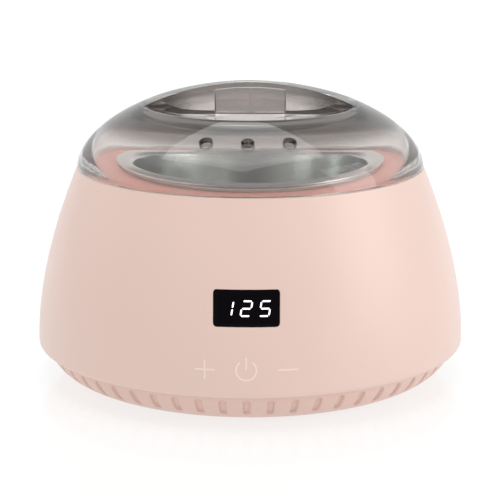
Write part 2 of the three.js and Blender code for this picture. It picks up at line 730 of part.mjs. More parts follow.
/** Upright prism of the grip bar's hourglass plan. */
function gripBar(halfThickness, halfLength, bottom, top) {
  const shape = new THREE.Shape();
  const divisions = 12;
  const edge = [];
  for (let i = 0; i <= divisions; i += 1) {
    const x = halfLength * ((2 * i) / divisions - 1);
    edge.push([x, halfThickness + GRIP_FLARE * x * x]);
  }
  const outline = [...edge, ...edge.map(([x, y]) => [x, -y]).reverse()];
  shape.setFromPoints(outline.map(([x, y]) => new THREE.Vector2(x, y)));
  const options = { depth: top - bottom, bevelEnabled: false };
  return welded(new THREE.ExtrudeGeometry(shape, options).translate(0, 0, bottom));
}

/** The space of the dish, or of the room that its underside takes inside the lid. */
function dishSpace(drop) {
  const floorZ = LID_Z + DISH_FLOOR_H - drop;
  const slope = (DISH_LIP_H - DISH_FLOOR_H) / (DISH_LIP_R - DISH_FLOOR_R);
  const outerR = DISH_LIP_R + 12;
  return turned([
    [0, floorZ],
    [DISH_FLOOR_R, floorZ],
    [outerR, floorZ + slope * (outerR - DISH_FLOOR_R)],
    [outerR, LID_Z + DOME_H + 10],
    [0, LID_Z + DOME_H + 10],
  ], ROUND_SIDES);
}

function lid() {
  const dome = turned([[0, LID_Z], ...domeOutline(DOME_STEPS)], ROUND_SIDES);
  const skirtTop = LID_Z + 0.5;
  const skirt = band(LID_FOOT_R, BORE_R - 0.4, LID_Z - SKIRT_H, skirtTop, ROUND_SIDES);
  const room = turned([[0, LID_Z - 1], [LID_FOOT_R, LID_Z - 1], ...roomOutline(DOME_STEPS)], ROUND_SIDES);
  const roomUnderDish = shaped(room, { cut: [dishSpace(2.6)] });
  const fingerSpace = shaped(dishSpace(0), { cut: [gripBar(GRIP_HALF_T, 64, LID_Z, LID_Z + DOME_H + 20)] });
  const gripHollow = block([-17, -1.5, LID_Z + 15], [17, 1.5, LID_Z + DOME_H - 3]);
  const vents = [-16, 0, 16].map((angle) => rod(VENT_R, -14, 14, SMALL_SIDES)
    .rotateX(Math.PI / 4)
    .translate(0, -66, LID_Z + 21.5)
    .rotateZ(THREE.MathUtils.degToRad(angle)));
  return shaped(shaped(dome, { cut: [fingerSpace] }), {
    join: [skirt],
    cut: [roomUnderDish, gripHollow, ...vents],
  });
}

// ---------------------------------------------------------------- assembly

const warmer = new THREE.Group();

function addHousing() {
  const housing = new THREE.Group();
  warmer.add(housing);
  addPiece(housing, 'outer_shell', outerShell(), LOOKS.casing);
  addPiece(housing, 'top_deck', topDeck(), LOOKS.casing);
  addPiece(housing, 'bottom_cover', bottomCover(), LOOKS.casing);
  for (const [place, angle] of Object.entries(FOOT_ANGLES)) {
    const radians = THREE.MathUtils.degToRad(angle);
    const mesh = addPiece(housing, `foot_${place}`, foot(), LOOKS.rubber);
    mesh.position.set(FOOT_R * Math.cos(radians), FOOT_R * Math.sin(radians), 0);
  }
  CASE_SCREW_ANGLES.forEach((angle, i) => {
    const radians = THREE.MathUtils.degToRad(angle);
    const mesh = addPiece(housing, `case_screw_${i + 1}`, screw(26), LOOKS.steel);
    mesh.position.set(CASE_SCREW_R * Math.cos(radians), CASE_SCREW_R * Math.sin(radians), 3.2);
  });
}

function addFrontPanel() {
  const panel = new THREE.Group();
  warmer.add(panel);
  addPiece(panel, 'display_lens', displayLens(), LOOKS.blackPlastic);
  addPiece(panel, 'display_module', displayModule(), LOOKS.blackPlastic);
  addPiece(panel, 'control_board', controlBoard(), LOOKS.board);
  addPiece(panel, 'touch_spring_plus', touchSpring(-KEY_PITCH), LOOKS.brass);
  addPiece(panel, 'touch_spring_power', touchSpring(0), LOOKS.brass);
  addPiece(panel, 'touch_spring_minus', touchSpring(KEY_PITCH), LOOKS.brass);
  for (const [side, x] of [['left', -CONTROL_SCREW_X], ['right', CONTROL_SCREW_X]]) {
    const mesh = addPiece(panel, `control_screw_${side}`, screw(7), LOOKS.steel);
    mesh.rotation.x = Math.PI / 2;
    mesh.position.set(x, CONTROL_Y + CONTROL_T + GAP + SCREW_HEAD_H, CONTROL_SCREW_Z);
  }
}

function addHeater() {
  const heater = new THREE.Group();
  warmer.add(heater);
  addPiece(heater, 'heater_bowl', heaterBowl(), LOOKS.aluminium);
  addPiece(heater, 'bowl_seal_ring', bowlSealRing(), LOOKS.silicone);
  addPiece(heater, 'heater_band', heaterBand(), LOOKS.mica);
  addPiece(heater, 'band_clamp', bandClamp(), LOOKS.steel);
  addPiece(heater, 'clamp_screw', clampScrew(), LOOKS.steel);
  addPiece(heater, 'insulation_wrap', insulationWrap(), LOOKS.glassWool);
  addPiece(heater, 'thermal_cutout', thermalCutout(), LOOKS.blackPlastic);
  addPiece(heater, 'temperature_sensor', temperatureSensor(), LOOKS.steel);
  addPiece(heater, 'bowl_bracket', bowlBracket(), LOOKS.steel);
  addPiece(heater, 'bracket_nut', bracketNut(), LOOKS.brass);
  for (const [side, x] of [['left', -BRACKET_X], ['right', BRACKET_X]]) {
    const mesh = addPiece(heater, `bracket_screw_${side}`, screw(12), LOOKS.steel);
    mesh.position.set(x, 0, BRACKET_Z - GAP - SCREW_HEAD_H);
  }
  addPiece(heater, 'heat_shield', heatShield(), LOOKS.aluminium);
  SHIELD_POST_ANGLES.forEach((angle, i) => {
    const radians = THREE.MathUtils.degToRad(angle);
    const mesh = addPiece(heater, `shield_screw_${i + 1}`, screw(8), LOOKS.steel);
    mesh.rotation.x = Math.PI;
    mesh.position.set(
      SHIELD_POST_R * Math.cos(radians),
      SHIELD_POST_R * Math.sin(radians),
      SHIELD_Z + 0.8 + GAP + SCREW_HEAD_H,
    );
  });
}

function addElectronics() {
  const electronics = new THREE.Group();
  warmer.add(electronics);
  addPiece(electronics, 'power_board', powerBoard(), LOOKS.board);
  addPiece(electronics, 'relay', onBoard(-20, 5, 19, 15, 12), LOOKS.bluePlastic);
  addPiece(electronics, 'transformer', onBoard(6, -12, 18, 16, 12.5), LOOKS.mica);
  const can = rod(4.5, PART_Z, PART_Z + 12).translate(2, 6, 0);
  addPiece(electronics, 'electrolytic_capacitor', can, LOOKS.blackPlastic);
  addPiece(electronics, 'film_capacitor', onBoard(19, 9, 17, 6, 11), LOOKS.bluePlastic);
  const mains = terminalBlock(TERMINAL_MAINS.x, TERMINAL_MAINS.y, 1);
  addPiece(electronics, 'terminal_block_mains', mains, LOOKS.whitePlastic);
  const heaterTerminals = terminalBlock(TERMINAL_HEATER.x, TERMINAL_HEATER.y, -1);
  addPiece(electronics, 'terminal_block_heater', heaterTerminals, LOOKS.whitePlastic);
  addPiece(electronics, 'mains_fuse', mainsFuse(), LOOKS.glass);
  addPiece(electronics, 'ribbon_header', onBoard(0, -25.8, 12, 4.5, 5), LOOKS.whitePlastic);
  addPiece(electronics, 'sensor_header', onBoard(-20, -28.5, 6, 5, 5), LOOKS.whitePlastic);
  boardScrewCorners().forEach(([x, y], i) => {
    const mesh = addPiece(electronics, `power_board_screw_${i + 1}`, screw(5), LOOKS.steel);
    mesh.rotation.x = Math.PI;
    mesh.position.set(x, y, BOARD_TOP + GAP + SCREW_HEAD_H);
  });
  addPiece(electronics, 'power_inlet', powerInlet(), LOOKS.blackPlastic);
  addPiece(electronics, 'inlet_pin_left', inletPin(-PIN_X), LOOKS.brass);
  addPiece(electronics, 'inlet_pin_right', inletPin(PIN_X), LOOKS.brass);
  addPiece(electronics, 'lead_live', mainsLead(-1), LOOKS.brownWire);
  addPiece(electronics, 'lead_neutral', mainsLead(1), LOOKS.blueWire);
  addPiece(electronics, 'heater_lead_1', heaterLead(-1), LOOKS.whiteWire);
  addPiece(electronics, 'heater_lead_2', heaterLead(1), LOOKS.whiteWire);
  addPiece(electronics, 'sensor_lead', sensorLead(), LOOKS.whiteWire);
  addPiece(electronics, 'ribbon_cable', ribbonCable(), LOOKS.greyRibbon);
}

addHousing();
addFrontPanel();
addHeater();
addElectronics();
addPiece(warmer, 'wax_pot', waxPot(), LOOKS.aluminium);
addPiece(warmer, 'lid', lid(), LOOKS.clearLid);

export default warmer;
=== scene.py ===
# Looks of a wax warmer pot: moulded casing, slotted base, display, spun aluminium pot and clear lid.
import json
import math

import bmesh
import bpy
from mathutils import Matrix, Vector


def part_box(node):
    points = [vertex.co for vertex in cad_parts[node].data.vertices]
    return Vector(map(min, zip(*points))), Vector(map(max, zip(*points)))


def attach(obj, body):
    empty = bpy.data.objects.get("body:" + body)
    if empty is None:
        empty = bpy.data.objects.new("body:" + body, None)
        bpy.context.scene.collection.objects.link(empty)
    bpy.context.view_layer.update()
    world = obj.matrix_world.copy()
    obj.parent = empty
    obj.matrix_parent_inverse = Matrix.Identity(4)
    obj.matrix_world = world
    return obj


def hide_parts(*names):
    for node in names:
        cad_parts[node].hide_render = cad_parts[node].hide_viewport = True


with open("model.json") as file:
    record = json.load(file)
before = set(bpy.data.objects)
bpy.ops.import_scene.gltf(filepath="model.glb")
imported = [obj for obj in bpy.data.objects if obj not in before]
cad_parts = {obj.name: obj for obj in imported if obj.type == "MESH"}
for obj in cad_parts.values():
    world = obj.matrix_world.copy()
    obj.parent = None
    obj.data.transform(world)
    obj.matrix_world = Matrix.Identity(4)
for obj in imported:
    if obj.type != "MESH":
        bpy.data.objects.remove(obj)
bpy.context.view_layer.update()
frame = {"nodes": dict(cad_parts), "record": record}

MM = 0.001

# ---------------- sizes, in millimetres

BODY_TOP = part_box("outer_shell")[1]
BODY_R = BODY_TOP.x / MM  # widest ring of the casing
SEAM_Z = BODY_TOP.z / MM  # where the lid meets the casing
WIDEST_Z = 17.5
BULGE_Z = 53.3  # the side leaves its widest ring upright, towards this height
SEAM_R = 82.3
WALL = 2.5
FIT = 0.3  # play between pieces that sit in each other
BORE_R = 78.4  # rim bore that takes the lid's skirt
BASE_SEAM_Z = 14.9
BASE_SEAM_R = 98.0
BASE_GAP = 0.2  # shadow gap between the casing and the base
BASE_BELLY_R = 94.3  # the base's side bulges towards this point
BASE_BELLY_Z = 4.1
BASE_FLOOR_R = 81.5
BASE_FLOOR_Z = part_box("bottom_cover")[0].z / MM
BASE_FLOOR_T = 3.0
SLOT_COUNT = 56

DECK_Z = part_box("top_deck")[1].z / MM
DECK_OPENING_R = 62.0
DECK_LIP_Z = 90.0  # lower end of the lip round the deck's opening
POT_TOP_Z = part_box("wax_pot")[1].z / MM
POT_FLANGE_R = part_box("wax_pot")[1].x / MM
POT_R = 56.8
POT_FLOOR_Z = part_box("wax_pot")[0].z / MM
SHEET = 1.2  # thickness of the pot's floor and flange, and of the bowl's wall and floor
BOWL_R = 59.0
BOWL_FLANGE_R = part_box("heater_bowl")[1].x / MM
BOWL_FLANGE_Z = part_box("heater_bowl")[1].z / MM
BOWL_FLOOR_Z = 37.8
BOWL_FLANGE_T = 1.0
BOWL_STUD_R = 2.5
BOWL_STUD_Z = 26.0

LID_Z = 100.8  # lid's resting face
DOME_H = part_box("lid")[1].z / MM - LID_Z  # crown above that face
LID_FOOT_R = 76.2
DOME_LEAN = 1.5  # the dome leans in by this above its foot
DOME_SIDE = 0.55  # share of its height at which it turns in
DOME_SHOULDER = 0.44  # share of its radius towards which it turns
SKIRT_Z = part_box("lid")[0].z / MM
ROOM_LEAN = 3.5  # the room inside the lid widens above its foot
ROOM_SIDE_H = 14.0
ROOM_SHOULDER_R = 56.0
ROOM_TOP_H = 31.5
DISH_FLOOR_R = 34.5  # finger dish in the crown
DISH_FLOOR_H = 24.6
DISH_SLOPE = 0.285  # rise of its side for each step outwards
DISH_TURN = 4.0  # how softly its floor turns up into its side
DISH_UNDER = 2.6  # thickness under its floor
GRIP_HALF_T = 3.6
GRIP_FLARE = 0.0035  # the bar widens with the square of the distance from its middle
GRIP_HOLLOW_HALF_L = 17.0
VENT_R = 2.8
VENT_PLACE_R = 66.0

DISPLAY_Z = 55.1
DISPLAY_W = 28.8
DISPLAY_H = 15.7
DISPLAY_CORNER_R = 1.5
KEY_Z = 28.4
KEY_PITCH = 18.2
INLET_Z = 30.0
INLET_OPENING = (21.0, 12.4)

# ---------------- mesh helpers


def polar(radius, angle, z):
    """Point at a radius and an angle from +X, in millimetres."""
    return Vector((radius * math.cos(angle), radius * math.sin(angle), z))


class Skin:
    """Collects points and faces in millimetres, then becomes one Blender mesh object in metres."""

    def __init__(self):
        self.points = []
        self.faces = []

    def add(self, points):
        """Adds a loop of points and returns their numbers."""
        start = len(self.points)
        self.points.extend(Vector(point) for point in points)
        return list(range(start, len(self.points)))

    def bridge(self, first, second, closed=True):
        """Quads between two loops with equal numbers of points."""
        count = len(first)
        for i in range(count if closed else count - 1):
            j = (i + 1) % count
            self.faces.append((first[i], first[j], second[j], second[i]))

    def bridge_all(self, loops):
        for first, second in zip(loops, loops[1:]):
            self.bridge(first, second)

    def fan(self, loop, centre):
        middle = self.add([centre])[0]
        for i, corner in enumerate(loop):
            self.faces.append((corner, loop[(i + 1) % len(loop)], middle))

    def strip_cap(self, loop, along):
        """Closes a long thin loop whose first `along` steps face its next long side."""
        across = len(loop) // 2 - along
        far = loop[along + across:2 * along + across + 1][::-1]
        near = loop[:along + 1]
        self.bridge(near, far, closed=False)
        self.faces.append(tuple(loop[along:along + across + 1]))
        self.faces.append(tuple(loop[2 * along + across:] + loop[:1]))

    def build(self, name, material, smooth_angle=35.0):
        mesh = bpy.data.meshes.new(name)
        mesh.from_pydata([point * MM for point in self.points], [], self.faces)
        clean = bmesh.new()
        clean.from_mesh(mesh)
        bmesh.ops.remove_doubles(clean, verts=clean.verts, dist=1e-6)
        bmesh.ops.dissolve_degenerate(clean, edges=clean.edges, dist=1e-7)
        bmesh.ops.recalc_face_normals(clean, faces=clean.faces)
        clean.to_mesh(mesh)
        clean.free()
        mesh.shade_smooth()
        mesh.set_sharp_from_angle(angle=math.radians(smooth_angle))
        mesh.materials.append(material)
        thing = bpy.data.objects.new(name, mesh)
        bpy.context.scene.collection.objects.link(thing)
        return thing


def outline(corners, arc_steps=4):
    """(radius, height) points from (radius, height, fillet) corners; a corner without fillet stays sharp."""
    points = []
    for i, corner in enumerate(corners):
        here = Vector(corner[:2])
        fillet = corner[2] if len(corner) > 2 else 0
        if not fillet:
            points.append(here)
            continue
        back = (Vector(corners[i - 1][:2]) - here).normalized()
        ahead = (Vector(corners[(i + 1) % len(corners)][:2]) - here).normalized()
        half = back.angle(ahead) / 2
        reach = fillet / math.tan(half)
        middle = here + (back + ahead).normalized() * fillet / math.sin(half)
        start = here + back * reach - middle
        turn = start.angle_signed(here + ahead * reach - middle)
        for step in range(arc_steps + 1):
            points.append(middle + Matrix.Rotation(-turn * step / arc_steps, 2) @ start)
    return points


def turned(name, corners, material, columns=192, closed=True):
    """Body of revolution about Z. A closed outline stays clear of the axis, an open one ends on it."""
    skin = Skin()
    loops = []
    for point in outline(corners):
        if point.x < 1e-6:
            loops.append(skin.add([(0, 0, point.y)]) * columns)
        else:
            loops.append(skin.add(polar(point.x, math.tau * j / columns, point.y) for j in range(columns)))
    for first, second in zip(loops, loops[1:] + (loops[:1] if closed else [])):
        skin.bridge(first, second)
    skin.faces = [tuple(dict.fromkeys(face)) for face in skin.faces]
    skin.faces = [face for face in skin.faces if len(face) > 2]
    return skin.build(name, material)


def rounded_loop(half_w, half_h, radius, steps_w, steps_h):
    """Rounded rectangle, anticlockwise from its lower left corner, with points crowded at the corners."""
    def side(length, steps):
        straight = length - radius
        arc = math.pi / 4 * radius
        for i in range(steps):
            s = -math.cos(math.pi * i / steps) * (straight + arc)
            if abs(s) <= straight:
                yield s, 0.0
            else:
                angle = (abs(s) - straight) / radius
                yield math.copysign(straight + radius * math.sin(angle), s), radius * (1 - math.cos(angle))

    loop = [Vector((a, -half_h + b)) for a, b in side(half_w, steps_w)]
    loop += [Vector((half_w - b, a)) for a, b in side(half_h, steps_h)]
    loop += [Vector((-a, half_h - b)) for a, b in side(half_w, steps_w)]
    loop += [Vector((-half_w + b, -a)) for a, b in side(half_h, steps_h)]
    return loop


def grid_border(grid, rows, columns):
    """Loop of grid points round a block of cells, from its lower left corner, anticlockwise."""
    (r0, r1), (c0, c1) = rows, columns
    wide = len(grid[0])
    loop = [grid[r0][c % wide] for c in range(c0, c1)]
    loop += [grid[r][c1 % wide] for r in range(r0, r1)]
    loop += [grid[r1][c % wide] for c in range(c1, c0, -1)]
    loop += [grid[r][c0 % wide] for r in range(r1, r0, -1)]
    return loop


def grid_faces(skin, grid, holes=()):
    """Quads between the rows of a grid that closes on itself sideways, apart from blocks left open."""
    wide = len(grid[0])
    for r in range(len(grid) - 1):
        for c in range(wide):
            if any(r0 <= r < r1 and (c - c0) % wide < c1 - c0 for (r0, r1), (c0, c1) in holes):
                continue
            d = (c + 1) % wide
            skin.faces.append((grid[r][c], grid[r][d], grid[r + 1][d], grid[r + 1][c]))


def blend_loops(skin, border, border_flat, target_flat, place, steps=3):
    """Rings of quads from a border to a flat target loop, laid on a surface by place. Returns the last."""
    previous = border
    for step in range(1, steps + 1):
        share = step / steps
        ring = skin.add(place(a.lerp(b, share)) for a, b in zip(border_flat, target_flat))
        skin.bridge(previous, ring)
        previous = ring
    return previous


def smooth_step(low, high, value):
    t = min(1.0, max(0.0, (value - low) / (high - low)))
    return t * t * (3 - 2 * t)


def crossing(low, high, holds):
    """Value between low and high at which a test stops holding, found by halving."""
    for _ in range(40):
        middle = (low + high) / 2
        if holds(middle):
            low = middle
        else:
            high = middle
    return low


# ---------------- material helpers


def srgb(red, green, blue):
    """Linear colour from 0 to 255 screen values."""
    def linear(value):
        value /= 255
        return value / 12.92 if value <= 0.04045 else ((value + 0.055) / 1.055) ** 2.4

    return (linear(red), linear(green), linear(blue), 1.0)


class Finish:
    """A Principled material with procedural variation laid in object space, in metres."""

    def __init__(self, name, **settings):
        self.material = bpy.data.materials.new(name)
        self.material.use_nodes = True
        self.nodes = self.material.node_tree.nodes
        self.links = self.material.node_tree.links
        self.shader = self.nodes["Principled BSDF"]
        self.place = self.nodes.new("ShaderNodeTexCoord").outputs["Object"]
        for socket, value in settings.items():
            self.shader.inputs[socket.replace("_", " ")].default_value = value

    def noise(self, scale, detail=3.0, stretch=None):
        texture = self.nodes.new("ShaderNodeTexNoise")
        texture.inputs["Scale"].default_value = scale
        texture.inputs["Detail"].default_value = detail
        source = self.place
        if stretch:
            mapping = self.nodes.new("ShaderNodeMapping")
            mapping.inputs["Scale"].default_value = stretch
            self.links.new(self.place, mapping.inputs["Vector"])
            source = mapping.outputs["Vector"]
        self.links.new(source, texture.inputs["Vector"])
        return texture.outputs["Fac"]

    def coordinate(self, axis):
        split = self.nodes.new("ShaderNodeSeparateXYZ")
        self.links.new(self.place, split.inputs[0])
        return split.outputs[axis]

    def radius(self):
        """Distance from the object's upright axis."""
        squares = [self.math("MULTIPLY", self.coordinate(axis), self.coordinate(axis)) for axis in "XY"]
        return self.math("SQRT", self.math("ADD", *squares))

    def math(self, operation, *values):
        node = self.nodes.new("ShaderNodeMath")
        node.operation = operation
        for socket, value in zip(node.inputs, values):
            if isinstance(value, (int, float)):
                socket.default_value = value
            else:
                self.links.new(value, socket)
        return node.outputs[0]

    def ramp(self, value, start, end, low, high, softly=False):
        """Runs from low to high as the value goes from start to end."""
        node = self.nodes.new("ShaderNodeMapRange")
        if softly:
            node.interpolation_type = "SMOOTHSTEP"
        for socket, number in (("From Min", start), ("From Max", end), ("To Min", low), ("To Max", high)):
            node.inputs[socket].default_value = number
        self.links.new(value, node.inputs["Value"])
        return node.outputs["Result"]

    def noise_ramp(self, noise, low, high):
        """Spreads the middle of a noise texture's range over low to high."""
        return self.ramp(noise, 0.3, 0.7, low, high)

    def mix(self, first, second, factor):
        node = self.nodes.new("ShaderNodeMix")
        node.data_type = "RGBA"
        node.inputs["A"].default_value = first
        node.inputs["B"].default_value = second
        self.links.new(factor, node.inputs["Factor"])
        return node.outputs["Result"]

    def colour(self, first, second, noise):
        mixed = self.mix(first, second, self.noise_ramp(noise, 0.0, 1.0))
        self.links.new(mixed, self.shader.inputs["Base Color"])

    def roughness(self, low, high, noise):
        self.links.new(self.noise_ramp(noise, low, high), self.shader.inputs["Roughness"])

    def bump(self, height, depth):
        """Relief of the given depth in metres."""
        node = self.nodes.new("ShaderNodeBump")
        node.inputs["Distance"].default_value = depth
        self.links.new(height, node.inputs["Height"])
        self.links.new(node.outputs["Normal"], self.shader.inputs["Normal"])


def moulded(name, first, second, rough=(0.42, 0.52), grain=0.00002, **settings):
    """Moulded plastic: slow colour drift, fine grain and slightly uneven gloss."""
    finish = Finish(name, **settings)
    finish.colour(first, second, finish.noise(14.0, 4.0))
    finish.roughness(*rough, finish.noise(60.0, 5.0))
    finish.bump(finish.noise(2600.0, 2.0), grain)
    return finish.material


def casing_pink():
    return moulded("casing_pink", srgb(229, 198, 186), srgb(228, 196, 184), rough=(0.48, 0.54), grain=0.00001,
                   Coat_Weight=1.0, Coat_Roughness=0.42)


def base_pink():
    return moulded("base_pink", srgb(226, 192, 180), srgb(224, 189, 177), rough=(0.44, 0.52), grain=0.00001,
                   Coat_Weight=0.3, Coat_Roughness=0.35)


def deck_pink():
    return moulded("deck_pink", srgb(238, 170, 156), srgb(234, 165, 151), rough=(0.42, 0.5), Coat_Weight=0.4)


def icon_cream():
    return moulded("icon_cream", srgb(244, 224, 212), srgb(240, 219, 207), rough=(0.3, 0.4))


def lid_clear():
    """Clear plastic with a grey tint of painted shade that fades out in the middle of the dish and towards
    the foot; the grey stands in for dark surroundings seen through the dome.
    """
    finish = Finish("lid_clear", IOR=1.49, Transmission_Weight=0.95)
    clear_below, painted_shade_above = (LID_Z + 15) * MM, (LID_Z + 22) * MM
    clear_inside, painted_shade_outside = 24 * MM, 46 * MM
    above_foot = finish.ramp(finish.coordinate("Z"), clear_below, painted_shade_above, 0.0, 1.0, softly=True)
    outside_dish = finish.ramp(finish.radius(), clear_inside, painted_shade_outside, 0.0, 1.0, softly=True)
    # the darker grey mixed in over the dome is painted shade for the surroundings seen through it
    nearly_clear, painted_backdrop_shade = (0.90, 0.875, 0.86, 1.0), (0.27, 0.25, 0.24, 1.0)
    tint_and_painted_shade = finish.mix(nearly_clear, painted_backdrop_shade, finish.math("MULTIPLY", above_foot, outside_dish))
    finish.links.new(tint_and_painted_shade, finish.shader.inputs["Base Color"])
    finish.roughness(0.008, 0.03, finish.noise(35.0, 4.0))
    finish.bump(finish.noise(45.0, 1.0), 0.00001)
    absorb = finish.nodes.new("ShaderNodeVolumeAbsorption")
    absorb.inputs["Color"].default_value = (0.50, 0.46, 0.42, 1.0)
    absorb.inputs["Density"].default_value = 18.0
    finish.links.new(absorb.outputs["Volume"], finish.nodes["Material Output"].inputs["Volume"])
    return finish.material


def spun_aluminium(name, rough, first, second, painted_fan_shade=0.0):
    """Lathe-spun metal: fine turning lines, and painted shade in fans at front and rear that are duller than
    the sides, standing in for the bow-tie reflection of spun metal.
    """
    finish = Finish(name, Metallic=1.0, Anisotropic=0.8, Anisotropic_Rotation=0.25)
    tangent = finish.nodes.new("ShaderNodeTangent")
    tangent.direction_type = "RADIAL"
    tangent.axis = "Z"
    finish.links.new(tangent.outputs["Tangent"], finish.shader.inputs["Tangent"])
    finish.colour(first, second, finish.noise(40.0, 4.0))
    finish.roughness(*rough, finish.noise(120.0, 4.0))
    lines = finish.nodes.new("ShaderNodeTexNoise")
    lines.noise_dimensions = "1D"
    lines.inputs["Scale"].default_value = 2500.0
    finish.links.new(finish.radius(), lines.inputs["W"])
    finish.bump(lines.outputs["Fac"], 0.000004)
    if painted_fan_shade:
        # painted shade: the base colour is darkened in fans at front and rear, in place of a reflection
        # pattern
        sideways = finish.math("DIVIDE", finish.math("ABSOLUTE", finish.coordinate("X")), finish.radius())
        painted_fan_darkening = finish.ramp(sideways, 0.1, 0.75, 1 - painted_fan_shade, 1.0, softly=True)
        base_colour = finish.shader.inputs["Base Color"]
        shaded = finish.nodes.new("ShaderNodeVectorMath")
        shaded.operation = "SCALE"
        finish.links.new(base_colour.links[0].from_socket, shaded.inputs[0])
        finish.links.new(painted_fan_darkening, shaded.inputs["Scale"])
        finish.links.new(shaded.outputs["Vector"], base_colour)
    return finish.material


def metal(name, first, second, rough=(0.25, 0.4)):
    finish = Finish(name, Metallic=1.0)
    finish.colour(first, second, finish.noise(90.0, 4.0))
    finish.roughness(*rough, finish.noise(300.0, 4.0, stretch=(1.0, 1.0, 0.1)))
    finish.bump(finish.noise(1500.0, 2.0), 0.000005)
    return finish.material


def woven(name, first, second):
    """Glass-fibre cloth or sleeving: coarse fibres with a rough face."""
    finish = Finish(name, Sheen_Weight=0.3)
    finish.colour(first, second, finish.noise(700.0, 5.0, stretch=(1.0, 1.0, 4.0)))
    finish.roughness(0.85, 0.98, finish.noise(400.0, 3.0))
    finish.bump(finish.noise(900.0, 4.0), 0.0003)
    return finish.material


def circuit_board():
    finish = Finish("board_green")
    tracks = finish.nodes.new("ShaderNodeTexBrick")
    tracks.inputs["Scale"].default_value = 220.0
    finish.links.new(finish.place, tracks.inputs["Vector"])
    finish.colour(srgb(36, 98, 52), srgb(62, 128, 70), tracks.outputs["Fac"])
    finish.roughness(0.3, 0.45, finish.noise(200.0))
    finish.bump(tracks.outputs["Fac"], 0.00003)
    return finish.material


def clear_glass():
    finish = Finish("fuse_glass", IOR=1.5, Transmission_Weight=0.9)
    finish.colour(srgb(225, 232, 232), srgb(205, 215, 215), finish.noise(200.0))
    finish.roughness(0.02, 0.08, finish.noise(300.0))
    return finish.material


def display_glow():
    finish = Finish("display_glow", Roughness=0.4, Emission_Strength=1.1)
    finish.shader.inputs["Emission Color"].default_value = srgb(246, 244, 255)
    finish.colour(srgb(240, 238, 250), srgb(250, 250, 255), finish.noise(800.0))
    return finish.material


PINK = casing_pink()
DECK = deck_pink()
BASE_PINK = base_pink()
CREAM = icon_cream()
LID = lid_clear()
POT = spun_aluminium("pot_aluminium", (0.16, 0.24), srgb(236, 244, 241), srgb(243, 249, 246), painted_fan_shade=0.75)
BOWL = spun_aluminium("bowl_aluminium", (0.28, 0.36), srgb(200, 203, 202), srgb(210, 212, 211))
GLOW = display_glow()
WINDOW = moulded("display_black", srgb(6, 4, 7), srgb(9, 6, 10), rough=(0.06, 0.12), grain=0.000002,
                 Specular_IOR_Level=0.04)
RUBBER = moulded("foot_rubber", srgb(143, 127, 122), srgb(133, 118, 113), rough=(0.8, 0.92), grain=0.00005)
BLACK = moulded("inlet_black", srgb(26, 26, 27), srgb(33, 33, 34), rough=(0.4, 0.55), grain=0.00003)
SCREW = metal("screw_steel", srgb(182, 184, 188), srgb(165, 168, 172))
BRASS = metal("brass", srgb(205, 172, 98), srgb(188, 152, 84))

SLOT_FINISHES = {
    "casing_pink": PINK,
    "lid_clear": LID,
    "pot_aluminium": POT,
    "bowl_aluminium": BOWL,
    "display_black": WINDOW,
    "board_green": circuit_board(),
    "brass": BRASS,
    "screw_steel": SCREW,
    "sheet_steel": metal("sheet_steel", srgb(172, 174, 177), srgb(158, 160, 163), rough=(0.35, 0.5)),
    "foot_rubber": RUBBER,
    "seal_silicone": moulded("seal_silicone", srgb(186, 181, 173), srgb(176, 171, 163), rough=(0.6, 0.75)),
    "heater_mica": moulded("heater_mica", srgb(170, 148, 104), srgb(148, 126, 88), rough=(0.5, 0.7)),
    "insulation": woven("insulation", srgb(232, 226, 210), srgb(214, 206, 188)),
    "inlet_black": BLACK,
    "component_blue": moulded("component_blue", srgb(40, 88, 165), srgb(34, 78, 150), rough=(0.3, 0.42)),
    "component_tan": moulded("component_tan", srgb(176, 150, 96), srgb(160, 134, 84), rough=(0.45, 0.6)),
    "connector_white": moulded("connector_white", srgb(233, 230, 222), srgb(224, 221, 212),
                               rough=(0.45, 0.6)),
    "fuse_glass": clear_glass(),
    "lead_brown": moulded("lead_brown", srgb(107, 63, 37), srgb(95, 55, 32), rough=(0.5, 0.65)),
    "lead_blue": moulded("lead_blue", srgb(44, 79, 150), srgb(38, 70, 135), rough=(0.5, 0.65)),
    "lead_white": woven("lead_white", srgb(226, 221, 210), srgb(208, 202, 188)),
    "ribbon_grey": moulded("ribbon_grey", srgb(156, 156, 158), srgb(144, 144, 147), rough=(0.5, 0.65)),
}


def dress_cad_nodes():
    """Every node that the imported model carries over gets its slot's material."""
    for part in frame["record"]["subparts"]:
        node = frame["nodes"][part["node"]]
        node.data.materials.clear()
        node.data.materials.append(SLOT_FINISHES[part["material_slot"]])


def finished(piece, body, slot, *nodes):
    """Puts a new piece on its body, in place of the CAD nodes that it stands for. The slot is not used."""
    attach(piece, body)
    if nodes:
        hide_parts(*nodes)
    return piece


# ---------------- casing

SIDE_STEPS = 36
CASING_COLUMNS = 192


def side_point(t):
    """Radius and height on the casing's side, from its widest ring to the lid seam."""
    u = 1 - t
    radius = (u * u + 2 * u * t) * BODY_R + t * t * SEAM_R
    height = u * u * WIDEST_Z + 2 * u * t * BULGE_Z + t * t * SEAM_Z
    return Vector((radius, height))


def side_radius(z):
    """Casing radius at a height above its widest ring."""
    return side_point(crossing(0.0, 1.0, lambda t: side_point(t).y < z)).x


def on_casing(x, z, depth=0.0, facing=-1):
    """Point on the casing's front (facing -1) or back (+1), sunk by a depth."""
    radius = side_radius(z) - depth
    return Vector((x, facing * math.sqrt(radius * radius - x * x), z))


